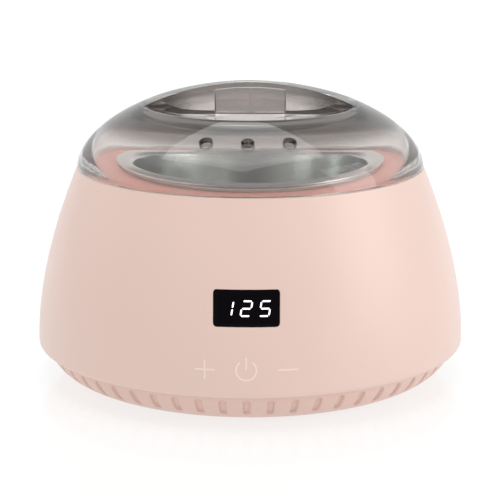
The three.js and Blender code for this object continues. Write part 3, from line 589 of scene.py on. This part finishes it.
def casing_opening(skin, outer, inner, rows, half_columns, facing, z, size, corner, edge):
    """Cuts one rounded opening through the casing's wall, with a rolled edge. Returns the block left open."""
    centre = CASING_COLUMNS * (3 if facing < 0 else 1) // 4
    columns = (centre - half_columns, centre + half_columns)
    block = (rows, columns)
    steps_w, steps_h = 2 * half_columns, rows[1] - rows[0]
    sign = -facing  # columns run towards +X at the front, -X at the back

    def flat(loop):
        return [Vector((sign * skin.points[i].x, skin.points[i].z)) for i in loop]

    def rim(grow):
        loop = rounded_loop(size[0] / 2 + grow, size[1] / 2 + grow, corner + grow, steps_w, steps_h)
        return [point + Vector((0, z)) for point in loop]

    def sunk(depth):
        return lambda point: on_casing(sign * point.x, point.y, depth, facing)

    border = grid_border(outer, *block)
    ring = blend_loops(skin, border, flat(border), rim(edge), sunk(0))
    for share in (0.35, 0.7, 1.0):
        angle = math.pi / 2 * share
        lower = skin.add(map(sunk(edge * (1 - math.cos(angle))), rim(edge * (1 - math.sin(angle)))))
        skin.bridge(ring, lower)
        ring = lower
    border = grid_border(inner, *block)
    back = blend_loops(skin, border, flat(border), rim(0), sunk(WALL))
    skin.bridge(ring, back)
    return block


def make_casing():
    """Moulded casing with openings for the display and the inlet, and a rim for the lid."""
    skin = Skin()
    heights = [side_point(i / SIDE_STEPS) for i in range(SIDE_STEPS + 1)]

    def rings(points):
        return [skin.add(polar(p.x, math.tau * j / CASING_COLUMNS, p.y) for j in range(CASING_COLUMNS))
                for p in points]

    outer = rings(heights)
    inner = rings([point - Vector((WALL, 0)) for point in heights])
    window = (DISPLAY_W + FIT, DISPLAY_H + FIT)
    openings = [
        casing_opening(skin, outer, inner, (9, 21), 9, -1, DISPLAY_Z, window, corner=1.6, edge=0.4),
        casing_opening(skin, outer, inner, (1, 10), 9, 1, INLET_Z, INLET_OPENING, corner=1.2, edge=0.3),
    ]
    grid_faces(skin, outer, openings)
    grid_faces(skin, inner, openings)

    bevel, bore_end = 0.25, DECK_Z - 3
    below_rim = (SEAM_R - WALL, SEAM_Z - 9)
    rim = outline([(SEAM_R - bevel, SEAM_Z), (BORE_R, SEAM_Z, 0.5), (BORE_R, bore_end), below_rim])
    skin.bridge_all([outer[-1], *rings(rim[:-1]), inner[-1]])

    roll_steps = 10
    roll_across, roll_down = BODY_R - BASE_SEAM_R, WIDEST_Z - BASE_SEAM_Z
    turns = [math.pi / 2 * step / roll_steps for step in range(1, roll_steps + 1)]
    roll = [Vector((BASE_SEAM_R + roll_across * math.cos(turn), WIDEST_Z - roll_down * math.sin(turn)))
            for turn in turns]
    roll.append(Vector((BASE_SEAM_R - WALL, BASE_SEAM_Z)))
    skin.bridge_all([outer[0], *rings(roll), inner[0]])
    return finished(skin.build("casing", PINK), "housing", "casing_pink", "outer_shell")


def base_point(t):
    """Radius and height on the base's side, from the casing seam down to the underside."""
    u = 1 - t
    radius = u * u * (BASE_SEAM_R - BASE_GAP) + 2 * u * t * BASE_BELLY_R + t * t * BASE_FLOOR_R
    height = u * u * (BASE_SEAM_Z - BASE_GAP) + 2 * u * t * BASE_BELLY_Z + t * t * BASE_FLOOR_Z
    return Vector((radius, height))


def make_base_ring():
    """Bulging base with a rounded pocket in each of its sectors."""
    skin = Skin()
    middle, length = 0.34, 22.5  # the pockets' place on the side, and the side's length
    pockets_top, pockets_end = -7.0, 7.6  # the pockets' part of the side
    cells_wide, cells_high = 6, 10
    columns = SLOT_COUNT * cells_wide
    half_sector = math.pi / SLOT_COUNT * base_point(middle).x
    half_w, half_l, edge, depth = 1.45, 5.6, 0.8, 1.3  # one pocket, and the roll of its edge

    def on_side(a, s, sunk, sector):
        t = middle + s / length
        ahead = (base_point(t + 0.01) - base_point(t - 0.01)).normalized()
        flat = base_point(t) + Vector((ahead.y, -ahead.x)) * sunk
        angle = math.tau * (sector - SLOT_COUNT / 4) / SLOT_COUNT + a / base_point(middle).x
        return polar(flat.x, angle, flat.y)

    def side_row(s):
        return skin.add(
            on_side(half_sector * (2 * (c % cells_wide) / cells_wide - 1), s, 0, c // cells_wide)
            for c in range(columns)
        )

    step_a, step_s = 2 * half_sector / cells_wide, (pockets_end - pockets_top) / cells_high
    rows = [side_row(pockets_top + step_s * r) for r in range(cells_high + 1)]
    flat = [Vector((-half_sector + step_a * c, pockets_top)) for c in range(cells_wide)]
    flat += [Vector((half_sector, pockets_top + step_s * r)) for r in range(cells_high)]
    flat += [Vector((half_sector - step_a * c, pockets_end)) for c in range(cells_wide)]
    flat += [Vector((-half_sector, pockets_end - step_s * r)) for r in range(cells_high)]

    def rim(grow):
        return rounded_loop(half_w + grow, half_l + grow, half_w + grow - 0.05, cells_wide, cells_high)

    turns = [math.pi / 8 * step for step in (1, 2, 3, 4)]
    steps = [(edge * (1 - math.sin(turn)), edge * (1 - math.cos(turn))) for turn in turns]
    steps += [(-0.1, depth - 0.25), (-0.35, depth)]  # rounded foot of the pocket's wall
    blocks = []
    for sector in range(SLOT_COUNT):
        block = ((0, cells_high), (sector * cells_wide, (sector + 1) * cells_wide))
        blocks.append(block)
        ring = blend_loops(skin, grid_border(rows, *block), flat, rim(edge),
                           lambda p: on_side(p.x, p.y, 0, sector), 2)
        for grow, sunk in steps:
            lower = skin.add(on_side(p.x, p.y, sunk, sector) for p in rim(grow))
            skin.bridge(ring, lower)
            ring = lower
        skin.fan(ring, on_side(0, 0, depth, sector))
    grid_faces(skin, rows, blocks)

    def turned_row(point):
        angle = math.tau * (-SLOT_COUNT / 4 - 0.5) / SLOT_COUNT
        return skin.add(polar(point.x, angle + math.tau * c / columns, point.y) for c in range(columns))

    top = base_point(0)
    lip_outer, lip_inner, lip_top = 94.6, 92.2, top.y + 3.0
    floor_top, middle_r = BASE_FLOOR_Z + BASE_FLOOR_T, 12.0
    upper = [turned_row(base_point(t)) for t in (0.015, 0.005)]
    upper += [turned_row(point) for point in outline([
        (top.x, top.y, 0.1), (lip_outer, top.y), (lip_outer, lip_top, 0.3), (lip_inner, lip_top, 0.3),
        (lip_inner, top.y), (90.0, 9.0), (78.5, floor_top), (middle_r, floor_top),
    ])]
    pockets_below, lower_steps = middle + pockets_end / length, 8
    shares = [step / lower_steps for step in range(1, lower_steps + 1)]
    lower = [side_row(length * (pockets_below + (1 - pockets_below) * share - middle)) for share in shares]
    lower.append(turned_row(Vector((middle_r, BASE_FLOOR_Z))))
    skin.bridge_all([rows[0], *upper])
    skin.bridge_all([rows[-1], *lower])
    skin.fan(upper[-1], (0, 0, floor_top))
    skin.fan(lower[-1], (0, 0, BASE_FLOOR_Z))
    return finished(skin.build("base_ring", BASE_PINK), "housing", "casing_pink", "bottom_cover")


def make_deck():
    """Ring round the pot, with a lip that hangs down round its opening."""
    under = DECK_Z - WALL
    lip_r, outer_r = DECK_OPENING_R + 2, BORE_R - FIT
    deck = turned("deck", [
        (DECK_OPENING_R, DECK_LIP_Z, 0.3), (lip_r, DECK_LIP_Z, 0.3), (lip_r, under),
        (outer_r, under), (outer_r, DECK_Z, 0.4), (DECK_OPENING_R, DECK_Z, 0.6),
    ], DECK)
    return finished(deck, "housing", "casing_pink", "top_deck")


def make_feet():
    """Round rubber feet, each with a groove that leaves a ring and a middle to stand on."""
    middle_r, groove_r, groove_h = 2.5, 3.0, 0.35
    for name in ("front_left", "front_right", "rear_left", "rear_right"):
        low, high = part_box("foot_" + name)
        radius = (high.x - low.x) / 2 / MM
        top = high.z / MM
        foot = turned("rubber_" + name, [
            (0, 0), (middle_r, 0), (groove_r, groove_h), (radius - 1.6, groove_h), (radius - 1.2, 0),
            (radius, 0, 0.6), (radius, top), (0, top),
        ], RUBBER, columns=64, closed=False)
        foot.data.transform(Matrix.Translation(((low.x + high.x) / 2, (low.y + high.y) / 2, 0)))
        finished(foot, "housing", "foot_rubber", "foot_" + name)


# ---------------- display and keys


def make_lens():
    """Gloss black window that follows the casing's curve, with a small rounded edge."""
    skin = Skin()
    edge, sunk = 0.25, 0.15

    def loop(grow, depth, share=1.0):
        flat = rounded_loop(DISPLAY_W / 2 + grow, DISPLAY_H / 2 + grow, DISPLAY_CORNER_R + grow, 32, 20)
        return skin.add(on_casing(p.x * share, p.y * share + DISPLAY_Z, depth) for p in flat)

    rings = [loop(-edge, sunk), loop(-edge * 0.3, sunk + edge * 0.3), loop(0, sunk + edge), loop(0, WALL)]
    skin.bridge_all(rings)
    for depth, outer in ((sunk, rings[0]), (WALL, rings[-1])):
        inwards = [loop(-edge, depth, share) for share in (0.8, 0.6, 0.4, 0.2)]
        skin.bridge_all([outer, *inwards])
        skin.fan(inwards[-1], on_casing(0, DISPLAY_Z, depth))
    return finished(skin.build("display_window", WINDOW), "housing", "display_black", "display_lens")


def raised_plate(skin, flat, centre_x, centre_z, lift, sink):
    """Small plate with the given flat outline, laid on the casing's front."""
    top = skin.add(on_casing(centre_x + p.x, centre_z + p.y, -lift) for p in flat)
    bottom = skin.add(on_casing(centre_x + p.x, centre_z + p.y, sink) for p in flat)
    skin.bridge(top, bottom)
    skin.faces.append(tuple(top))
    skin.faces.append(tuple(bottom[::-1]))


def raised_line(skin, path, centre_x, centre_z, half_width, lift, sink):
    """Thin round-ended line along a flat path, laid on the casing's front."""
    steps = len(path) - 1
    reach = [(path[min(i + 1, steps)] - path[max(i - 1, 0)]).normalized() for i in range(steps + 1)]
    across = [Vector((-ahead.y, ahead.x)) for ahead in reach]
    widths = [half_width * (0.45 if i in (0, steps) else 1.0) for i in range(steps + 1)]
    sides = []
    for side, depth in ((-1, -lift), (1, -lift), (1, sink), (-1, sink)):
        flat = [p + a * side * w for p, a, w in zip(path, across, widths)]
        sides.append(skin.add(on_casing(centre_x + p.x, centre_z + p.y, depth) for p in flat))
    for first, second in zip(sides, sides[1:] + sides[:1]):
        skin.bridge(first, second, closed=False)
    skin.faces.append(tuple(side[0] for side in sides))
    skin.faces.append(tuple(side[-1] for side in sides[::-1]))


FIGURE_SEGMENTS = {1: "bc", 2: "abged", 5: "afgcd"}


def make_figures(value=(1, 2, 5)):
    """Lit seven-segment figures."""
    skin = Skin()
    half_w, half_h, half_stroke, gap = 2.1, 3.15, 0.34, 0.22
    pitch, slant = 8.2, math.tan(math.radians(9.5))
    places = {
        "a": ((0, half_h), True), "g": ((0, 0), True), "d": ((0, -half_h), True),
        "f": ((-half_w, half_h / 2), False), "b": ((half_w, half_h / 2), False),
        "e": ((-half_w, -half_h / 2), False), "c": ((half_w, -half_h / 2), False),
    }
    for index, figure in enumerate(value):
        for segment in FIGURE_SEGMENTS[figure]:
            (x, z), level = places[segment]
            length = (half_w if level else half_h / 2) - gap
            tip = length - half_stroke
            flat = [(-length, 0), (-tip, -half_stroke), (tip, -half_stroke),
                    (length, 0), (tip, half_stroke), (-tip, half_stroke)]
            if not level:
                flat = [(-b, a) for a, b in flat]
            points = [Vector((x + a + (z + b) * slant, z + b)) for a, b in flat]
            raised_plate(skin, points, pitch * (index - 1), DISPLAY_Z, -0.1, 0.3)
    return finished(skin.build("display_figures", GLOW), "housing", "display_black")


def straight(start, end, half_width):
    """Path between two points, with a short first and last step for the round ends."""
    start, end = Vector(start), Vector(end)
    ahead = (end - start).normalized() * half_width * 0.7
    steps = 12
    inner = [(start + ahead).lerp(end - ahead, i / steps) for i in range(steps + 1)]
    return [start, *inner, end]


def make_icons():
    """Plus, power and minus signs, printed in thin raised lines over the touch keys."""
    half_line, lift, sink = 0.34, 0.04, 0.05
    arm, stem, arc_r = 4.4, (0.2, 5.5), 4.45
    plus, power, minus = Skin(), Skin(), Skin()

    def line(skin, centre_x, start, end):
        raised_line(skin, straight(start, end, half_line), centre_x, KEY_Z, half_line, lift, sink)

    line(plus, -KEY_PITCH, (-arm, 0), (arm, 0))
    line(plus, -KEY_PITCH, (0, -arm), (0, -half_line))
    line(plus, -KEY_PITCH, (0, half_line), (0, arm))
    line(minus, KEY_PITCH, (-arm, 0), (arm, 0))
    line(power, 0, (0, stem[0]), (0, stem[1]))
    gap_angle, steps = math.radians(38), 48
    arc = [math.pi / 2 + gap_angle + (math.tau - 2 * gap_angle) * i / steps for i in range(steps + 1)]
    path = [Vector((arc_r * math.cos(angle), arc_r * math.sin(angle))) for angle in arc]
    raised_line(power, path, 0, KEY_Z, half_line, lift, sink)
    for name, skin in (("key_plus", plus), ("key_power", power), ("key_minus", minus)):
        finished(skin.build(name, CREAM), "housing", "casing_pink")


# ---------------- pot and bowl


def make_pot():
    """Pot with a rounded floor, and a flange that hangs on the bowl."""
    top, flange_under = POT_TOP_Z, POT_TOP_Z - SHEET
    inner, floor_top = POT_R - 1, POT_FLOOR_Z + SHEET
    pot = turned("pot", [
        (0, floor_top), (inner - 1.5, floor_top, 8.0), (inner, top - 2.6, 2.0), (inner + 2.6, top, 2.4),
        (POT_FLANGE_R, top, 0.5), (POT_FLANGE_R, flange_under, 0.4), (POT_R + 0.2, flange_under, 0.8),
        (POT_R - 1.5, POT_FLOOR_Z, 9.0), (0, POT_FLOOR_Z),
    ], POT, columns=224, closed=False)
    return finished(pot, "pot", "pot_aluminium", "wax_pot")


def make_bowl():
    """Bowl that the pot hangs in, with a stud under its floor."""
    top, flange_under = BOWL_FLANGE_Z, BOWL_FLANGE_Z - BOWL_FLANGE_T
    inner, floor_top = BOWL_R - SHEET, BOWL_FLOOR_Z + SHEET
    bowl = turned("bowl", [
        (0, floor_top), (inner, floor_top, 8.0), (inner, top, 0.8), (BOWL_FLANGE_R, top, 0.4),
        (BOWL_FLANGE_R, flange_under, 0.3), (BOWL_R, flange_under, 0.4), (BOWL_R, BOWL_FLOOR_Z, 9.0),
        (BOWL_STUD_R, BOWL_FLOOR_Z), (BOWL_STUD_R, BOWL_STUD_Z, 0.4), (0, BOWL_STUD_Z),
    ], BOWL, closed=False)
    return finished(bowl, "housing", "bowl_aluminium", "heater_bowl")


# ---------------- lid

LID_COLUMNS = 240
QUARTER = LID_COLUMNS // 4
WALL_OFFSETS = (-1.6, -0.9, -0.5, -0.35, -0.2, -0.05, 0.1, 0.25, 0.4, 0.55, 0.75, 1.0, 1.5, 2.6)


def dome_point(t):
    """Outside of the dome, from its foot to the middle of its crown."""
    u = 1 - t
    radius = u ** 3 * SEAM_R + 3 * u * u * t * (SEAM_R - DOME_LEAN) + 3 * u * t * t * DOME_SHOULDER * SEAM_R
    return Vector((radius, 3 * u * u * t * DOME_SIDE * DOME_H + (3 * u * t * t + t ** 3) * DOME_H))


def room_point(t):
    """Inside of the dome, from its foot to the middle, as it would be without the dish."""
    u = 1 - t
    radius = u ** 3 * LID_FOOT_R + 3 * u * u * t * (LID_FOOT_R + ROOM_LEAN) + 3 * u * t * t * ROOM_SHOULDER_R
    return Vector((radius, 3 * u * u * t * ROOM_SIDE_H + (3 * u * t * t + t ** 3) * ROOM_TOP_H))


def height_on(curve, radius, start=0.0):
    """Height at which a curve that closes in on the axis has this radius."""
    return curve(crossing(start, 1.0, lambda t: curve(t).x > radius)).y


def soft_min(a, b, softness):
    """The smaller of two heights, rounded over where they are nearly equal."""
    spread = max(softness - abs(a - b), 0) / softness
    return min(a, b) - spread * spread * softness / 4


def dish_height(radius):
    """Dish's floor, which turns up smoothly into its sloping side."""
    beyond = radius - DISH_FLOOR_R
    return DISH_FLOOR_H + DISH_SLOPE * (beyond + math.hypot(beyond, DISH_TURN)) / 2


def grip_offset(x, y):
    """How far a point is outside the grip bar's edge, seen from above."""
    return abs(y) - GRIP_HALF_T - GRIP_FLARE * x * x


def top_height(radius, x, y):
    """Top of the lid: the dome, with the dish cut into it on both sides of the grip bar."""
    dome = height_on(dome_point, radius)
    cut = soft_min(dome, dish_height(radius), 0.8)
    bar = 1 - smooth_step(-0.35, 0.75, grip_offset(x, y))
    return LID_Z + cut + (dome - cut) * bar


def under_height(radius):
    """Underside of the lid, which follows the dish."""
    return LID_Z + soft_min(height_on(room_point, radius, 0.25), dish_height(radius) - DISH_UNDER, 2.0)


def edge_angle(radius, offset):
    """Angle from +X at which a circle crosses the line at this offset from the grip bar's edge."""
    if radius - GRIP_HALF_T - offset <= 0:
        return math.pi / 2
    return crossing(0.0, math.pi / 2,
                    lambda turn: grip_offset(radius * math.cos(turn), radius * math.sin(turn)) < offset)


def column_angles(radius):
    """Angles of the lid's columns on a circle: along the grip bar's edges, evened out towards the foot."""
    marks = [edge_angle(radius, offset) for offset in WALL_OFFSETS]
    bar_columns = 8
    open_columns = QUARTER - bar_columns - len(marks) + 1
    quarter = [marks[0] * i / bar_columns for i in range(bar_columns)]
    quarter += marks[:-1]
    quarter += [marks[-1] + (math.pi / 2 - marks[-1]) * i / open_columns for i in range(open_columns)]
    even = smooth_step(56, 74, radius)
    quarter = [a + (math.pi / 2 * i / QUARTER - a) * even for i, a in enumerate(quarter)]
    half = quarter + [math.pi - a for a in [math.pi / 2, *quarter[:0:-1]]]
    return half + [math.pi + a for a in half]


def make_lid():
    """Clear dome with a dish round a grip bar, three vents, and a skirt that sits in the casing's rim."""
    skin = Skin()
    near_axis = [0.9, 1.8, 2.6, 3.1, 3.5, 3.9, 4.3, 4.7, 5.2, 5.8, 6.6, 7.6, 8.8, 10.2]
    dish = [12 + 1.9 * i for i in range(20)]
    dish_lip = [49.2, 50.0, 50.6, 51.2, 51.8, 52.6, 53.6, 55.0]
    beyond = [56.4 + 1.5 * i for i in range(11)]
    side = [73.0 + 9.3 * math.sin(math.pi / 2 * i / 12) for i in range(1, 12)]
    radii = near_axis + dish + dish_lip + beyond + side
    vents_from = len(near_axis + dish + dish_lip) + 3
    vent_rows, under_rows = (vents_from, vents_from + 7), (24, 31)

    top = [[polar(r, a, 0) for a in column_angles(r)] for r in radii]
    top = [[Vector((p.x, p.y, top_height(r, p.x, p.y))) for p in ring] for r, ring in zip(radii, top)]
    grid_top = [skin.add(ring) for ring in top]

    def even_ring(radius, z):
        return skin.add(polar(radius, math.tau * j / LID_COLUMNS, z) for j in range(LID_COLUMNS))

    skirt_r = BORE_R - 0.4
    foot = outline([(SEAM_R, LID_Z + 2), (SEAM_R, LID_Z, 0.4), (skirt_r, LID_Z, 0.3),
                    (skirt_r, SKIRT_Z, 0.4), (LID_FOOT_R, SKIRT_Z, 0.5), (LID_FOOT_R, LID_Z)])
    foot_rings = [even_ring(p.x, p.y) for p in foot[1:-1]]
    grid_under = make_under_rings(even_ring)

    blocks_top, blocks_under = [], []
    vent_pitch, half_block = 11, 3  # in columns
    for turn in (-vent_pitch, 0, vent_pitch):
        middle = 3 * QUARTER + turn
        columns = (middle - half_block, middle + half_block)
        blocks_top.append((vent_rows, columns))
        blocks_under.append((under_rows, columns))
        make_vent(skin, grid_top, grid_under, vent_rows, under_rows, columns)
    grid_faces(skin, grid_top, blocks_top)
    grid_faces(skin, grid_under, blocks_under)
    skin.fan(grid_top[0], (0, 0, LID_Z + DOME_H))
    skin.bridge_all([grid_top[-1], *foot_rings, grid_under[0]])
    make_grip_hollow(skin, grid_under[-1])
    lid = skin.build("clear_lid", LID, smooth_angle=60.0)
    lid.visible_shadow = False  # clear plastic lets the lamps through to the pot and deck
    return finished(lid, "lid", "lid_clear", "lid")


def make_under_rings(even_ring):
    """Rings of the lid's underside, from its foot up the side and in under the crown to the hollow."""
    steps, turn_in_r = 36, 56
    side = [room_point(0.6 * i / steps) for i in range(steps + 1)]
    rings = [even_ring(p.x, LID_Z + p.y) for p in side if p.x > turn_in_r]
    crown_radii = [51.0 - i for i in range(8)] + [43 - 2.3 * i for i in range(11)]
    radii = [p.x for p in side if p.x <= turn_in_r] + crown_radii
    return rings + [even_ring(r, under_height(r)) for r in radii]


def make_vent(skin, grid_top, grid_under, rows_top, rows_under, columns):
    """Small round hole square to the dome, between a block of the lid's top grid and one of its underside."""
    angle = math.tau * sum(columns) / 2 / LID_COLUMNS
    centre = polar(VENT_PLACE_R, angle, top_height(VENT_PLACE_R, *polar(VENT_PLACE_R, angle, 0).xy))
    outward = polar(1, angle, 0)
    axis = (outward * 0.6 + Vector((0, 0, 0.8))).normalized()
    side = Vector((-outward.y, outward.x, 0))
    climb = side.cross(axis) * -1
    steps_w, steps_h = columns[1] - columns[0], rows_top[1] - rows_top[0]
    edge = 0.3

    def meet(start, height):
        """Where the line through start along the axis crosses a surface of the lid."""
        def below(along):
            point = start + axis * along
            return point.z < height(point)

        return start + axis * crossing(-9.0, 9.0, below)

    def outer(point):
        return top_height(point.xy.length, point.x, point.y)

    def inner(point):
        return under_height(point.xy.length)

    def rim(grow):
        loop = rounded_loop(VENT_R + grow, VENT_R + grow, VENT_R + grow - 0.01, steps_w, steps_h)
        return [centre + side * p.x - climb * p.y for p in loop]

    def mouth(border, height, lift):
        """Rings from a block's border to a little way into the hole. Returns the last."""
        flat = [skin.points[i].xy for i in border]
        outside = [meet(start, height).xy for start in rim(2 * edge)]
        rings = [blend_loops(skin, border, flat, outside,
                             lambda p: Vector((p.x, p.y, height(Vector((p.x, p.y, 0))))))]
        rings.append(skin.add(meet(start, height) for start in rim(edge)))
        for depth in (edge, 2 * edge):
            rings.append(skin.add(meet(start, height) + axis * depth * lift for start in rim(0)))
        skin.bridge_all(rings)
        return rings[-1]

    last = len(grid_under) - 1
    rows_down = (last - rows_under[1], last - rows_under[0])  # the underside's grid runs inwards
    above = mouth(grid_border(grid_top, rows_top, columns), outer, -1)
    below = mouth(grid_border(grid_under[::-1], rows_down, columns), inner, 1)
    skin.bridge(above, below)


def make_grip_hollow(skin, ring):
    """Slot moulded up into the grip bar from below, so that the bar isn't a thick lump."""
    across = 12  # columns at each end of the slot
    along, start = LID_COLUMNS // 2 - across, LID_COLUMNS // 2 + across // 2
    mouth_half_w, roof_half_w, mouth_edge, roof_t = 1.5, 1.1, 0.6, 3.0
    border = ring[start:] + ring[:start]
    floor_z = under_height(0)
    flat = [skin.points[i].xy for i in border]

    def slot_loop(half_width, grow=0.0):
        return rounded_loop(GRIP_HOLLOW_HALF_L + grow, half_width + grow, half_width + grow - 0.05,
                            along, across)

    def roof(x):
        return LID_Z + height_on(dome_point, abs(x)) - roof_t

    mouth = blend_loops(skin, border, flat, slot_loop(mouth_half_w, 0.5),
                        lambda p: Vector((p.x, p.y, floor_z)), 6)
    lower = skin.add(Vector((p.x, p.y, floor_z + mouth_edge)) for p in slot_loop(mouth_half_w))
    upper = skin.add(Vector((p.x, p.y, roof(p.x))) for p in slot_loop(roof_half_w))
    skin.bridge_all([mouth, lower, upper])
    skin.strip_cap(upper, along)


# ---------------- inlet


def make_inlet():
    """Two-pin mains inlet: a black block with a rounded socket."""
    skin = Skin()
    mouth_y, floor_y, back_y = 100.2, 88.7, 86.0
    socket, block = (8.1, 3.9), (10.2, 5.9)  # half widths and half heights

    def loop(half_size, grow, corner, y):
        flat = rounded_loop(half_size[0] + grow, half_size[1] + grow, corner, 20, 12)
        return skin.add(Vector((-p.x, y, INLET_Z + p.y)) for p in flat)

    rings = [
        loop(socket, -0.3, 3.5, floor_y), loop(socket, 0, 3.85, floor_y + 0.4),
        loop(socket, 0, 3.85, mouth_y - 0.4), loop(socket, 0.4, 4.2, mouth_y),
        loop(block, -0.3, 1.2, mouth_y), loop(block, 0, 1.0, mouth_y - 0.3), loop(block, 0, 1.0, back_y),
    ]
    skin.bridge_all(rings)
    skin.fan(rings[0], (0, floor_y, INLET_Z))
    skin.fan(rings[-1], (0, back_y, INLET_Z))
    return finished(skin.build("mains_inlet", BLACK), "housing", "inlet_black", "power_inlet")


# ---------------- stage, camera and light


def make_stage():
    """Wide glossy floor with a weak glow of its own."""
    floor_material = bpy.data.materials.new("studio_floor")
    floor_material.use_nodes = True
    shader = floor_material.node_tree.nodes["Principled BSDF"]
    shader.inputs["Base Color"].default_value = (0.26, 0.26, 0.26, 1)
    shader.inputs["Roughness"].default_value = 0.12
    shader.inputs["Emission Color"].default_value = (0.97, 1.0, 1.0, 1)
    shader.inputs["Emission Strength"].default_value = 0.66
    shader.inputs["Specular IOR Level"].default_value = 0.35
    mesh = bpy.data.meshes.new("floor")
    reach = 6.0
    corners = [(-reach, -reach, 0), (reach, -reach, 0), (reach, reach, 0), (-reach, reach, 0)]
    mesh.from_pydata(corners, [], [(0, 1, 2, 3)])
    mesh.materials.append(floor_material)
    floor = bpy.data.objects.new("floor", mesh)
    bpy.context.scene.collection.objects.link(floor)


def make_camera():
    """Long lens from the front and a little above, as in the photo."""
    target = Vector((0, 0, 0.0577))
    azimuth, elevation, distance = math.radians(1.0), math.radians(13.32), 0.9624
    level = math.cos(elevation)
    back = Vector((math.sin(azimuth) * level, -math.cos(azimuth) * level, math.sin(elevation)))
    data = bpy.data.cameras.new("camera")
    data.sensor_width = 36.0
    data.lens = 144.0
    data.shift_x = -0.0006
    data.shift_y = 0.0028
    camera = bpy.data.objects.new("camera", data)
    camera.location = target + back * distance
    camera.rotation_euler = (-back).to_track_quat("-Z", "Y").to_euler()
    bpy.context.scene.collection.objects.link(camera)
    bpy.context.scene.camera = camera


def soft_light(name, place, size, power):
    """Square area light, with sides of the given size in metres, that faces the object."""
    target = Vector((0, 0, 0.06))
    data = bpy.data.lights.new(name, "AREA")
    data.shape = "RECTANGLE"
    data.size, data.size_y = size, size
    data.energy = power
    light = bpy.data.objects.new(name, data)
    light.location = place
    light.rotation_euler = (target - Vector(place)).to_track_quat("-Z", "Y").to_euler()
    bpy.context.scene.collection.objects.link(light)


def make_light():
    """Even white surroundings, a key from the right, a weak fill from the left and a big light overhead."""
    world = bpy.data.worlds.new("studio")
    world.use_nodes = True
    background = world.node_tree.nodes["Background"]
    background.inputs["Color"].default_value = (1.0, 1.0, 1.0, 1)
    background.inputs["Strength"].default_value = 0.78
    bpy.context.scene.world = world
    soft_light("key_right", (1.4, -0.45, 0.55), 0.9, 6.0)
    soft_light("fill_left", (-0.9, -1.1, 0.5), 0.8, 0.6)
    soft_light("overhead", (-0.1, 0.1, 1.6), 1.4, 11.0)
    bpy.context.scene.view_settings.view_transform = "Standard"


dress_cad_nodes()
make_casing()
make_base_ring()
make_deck()
make_feet()
make_lens()
make_figures()
make_icons()
make_pot()
make_bowl()
make_lid()
make_inlet()
make_stage()
make_camera()
make_light()
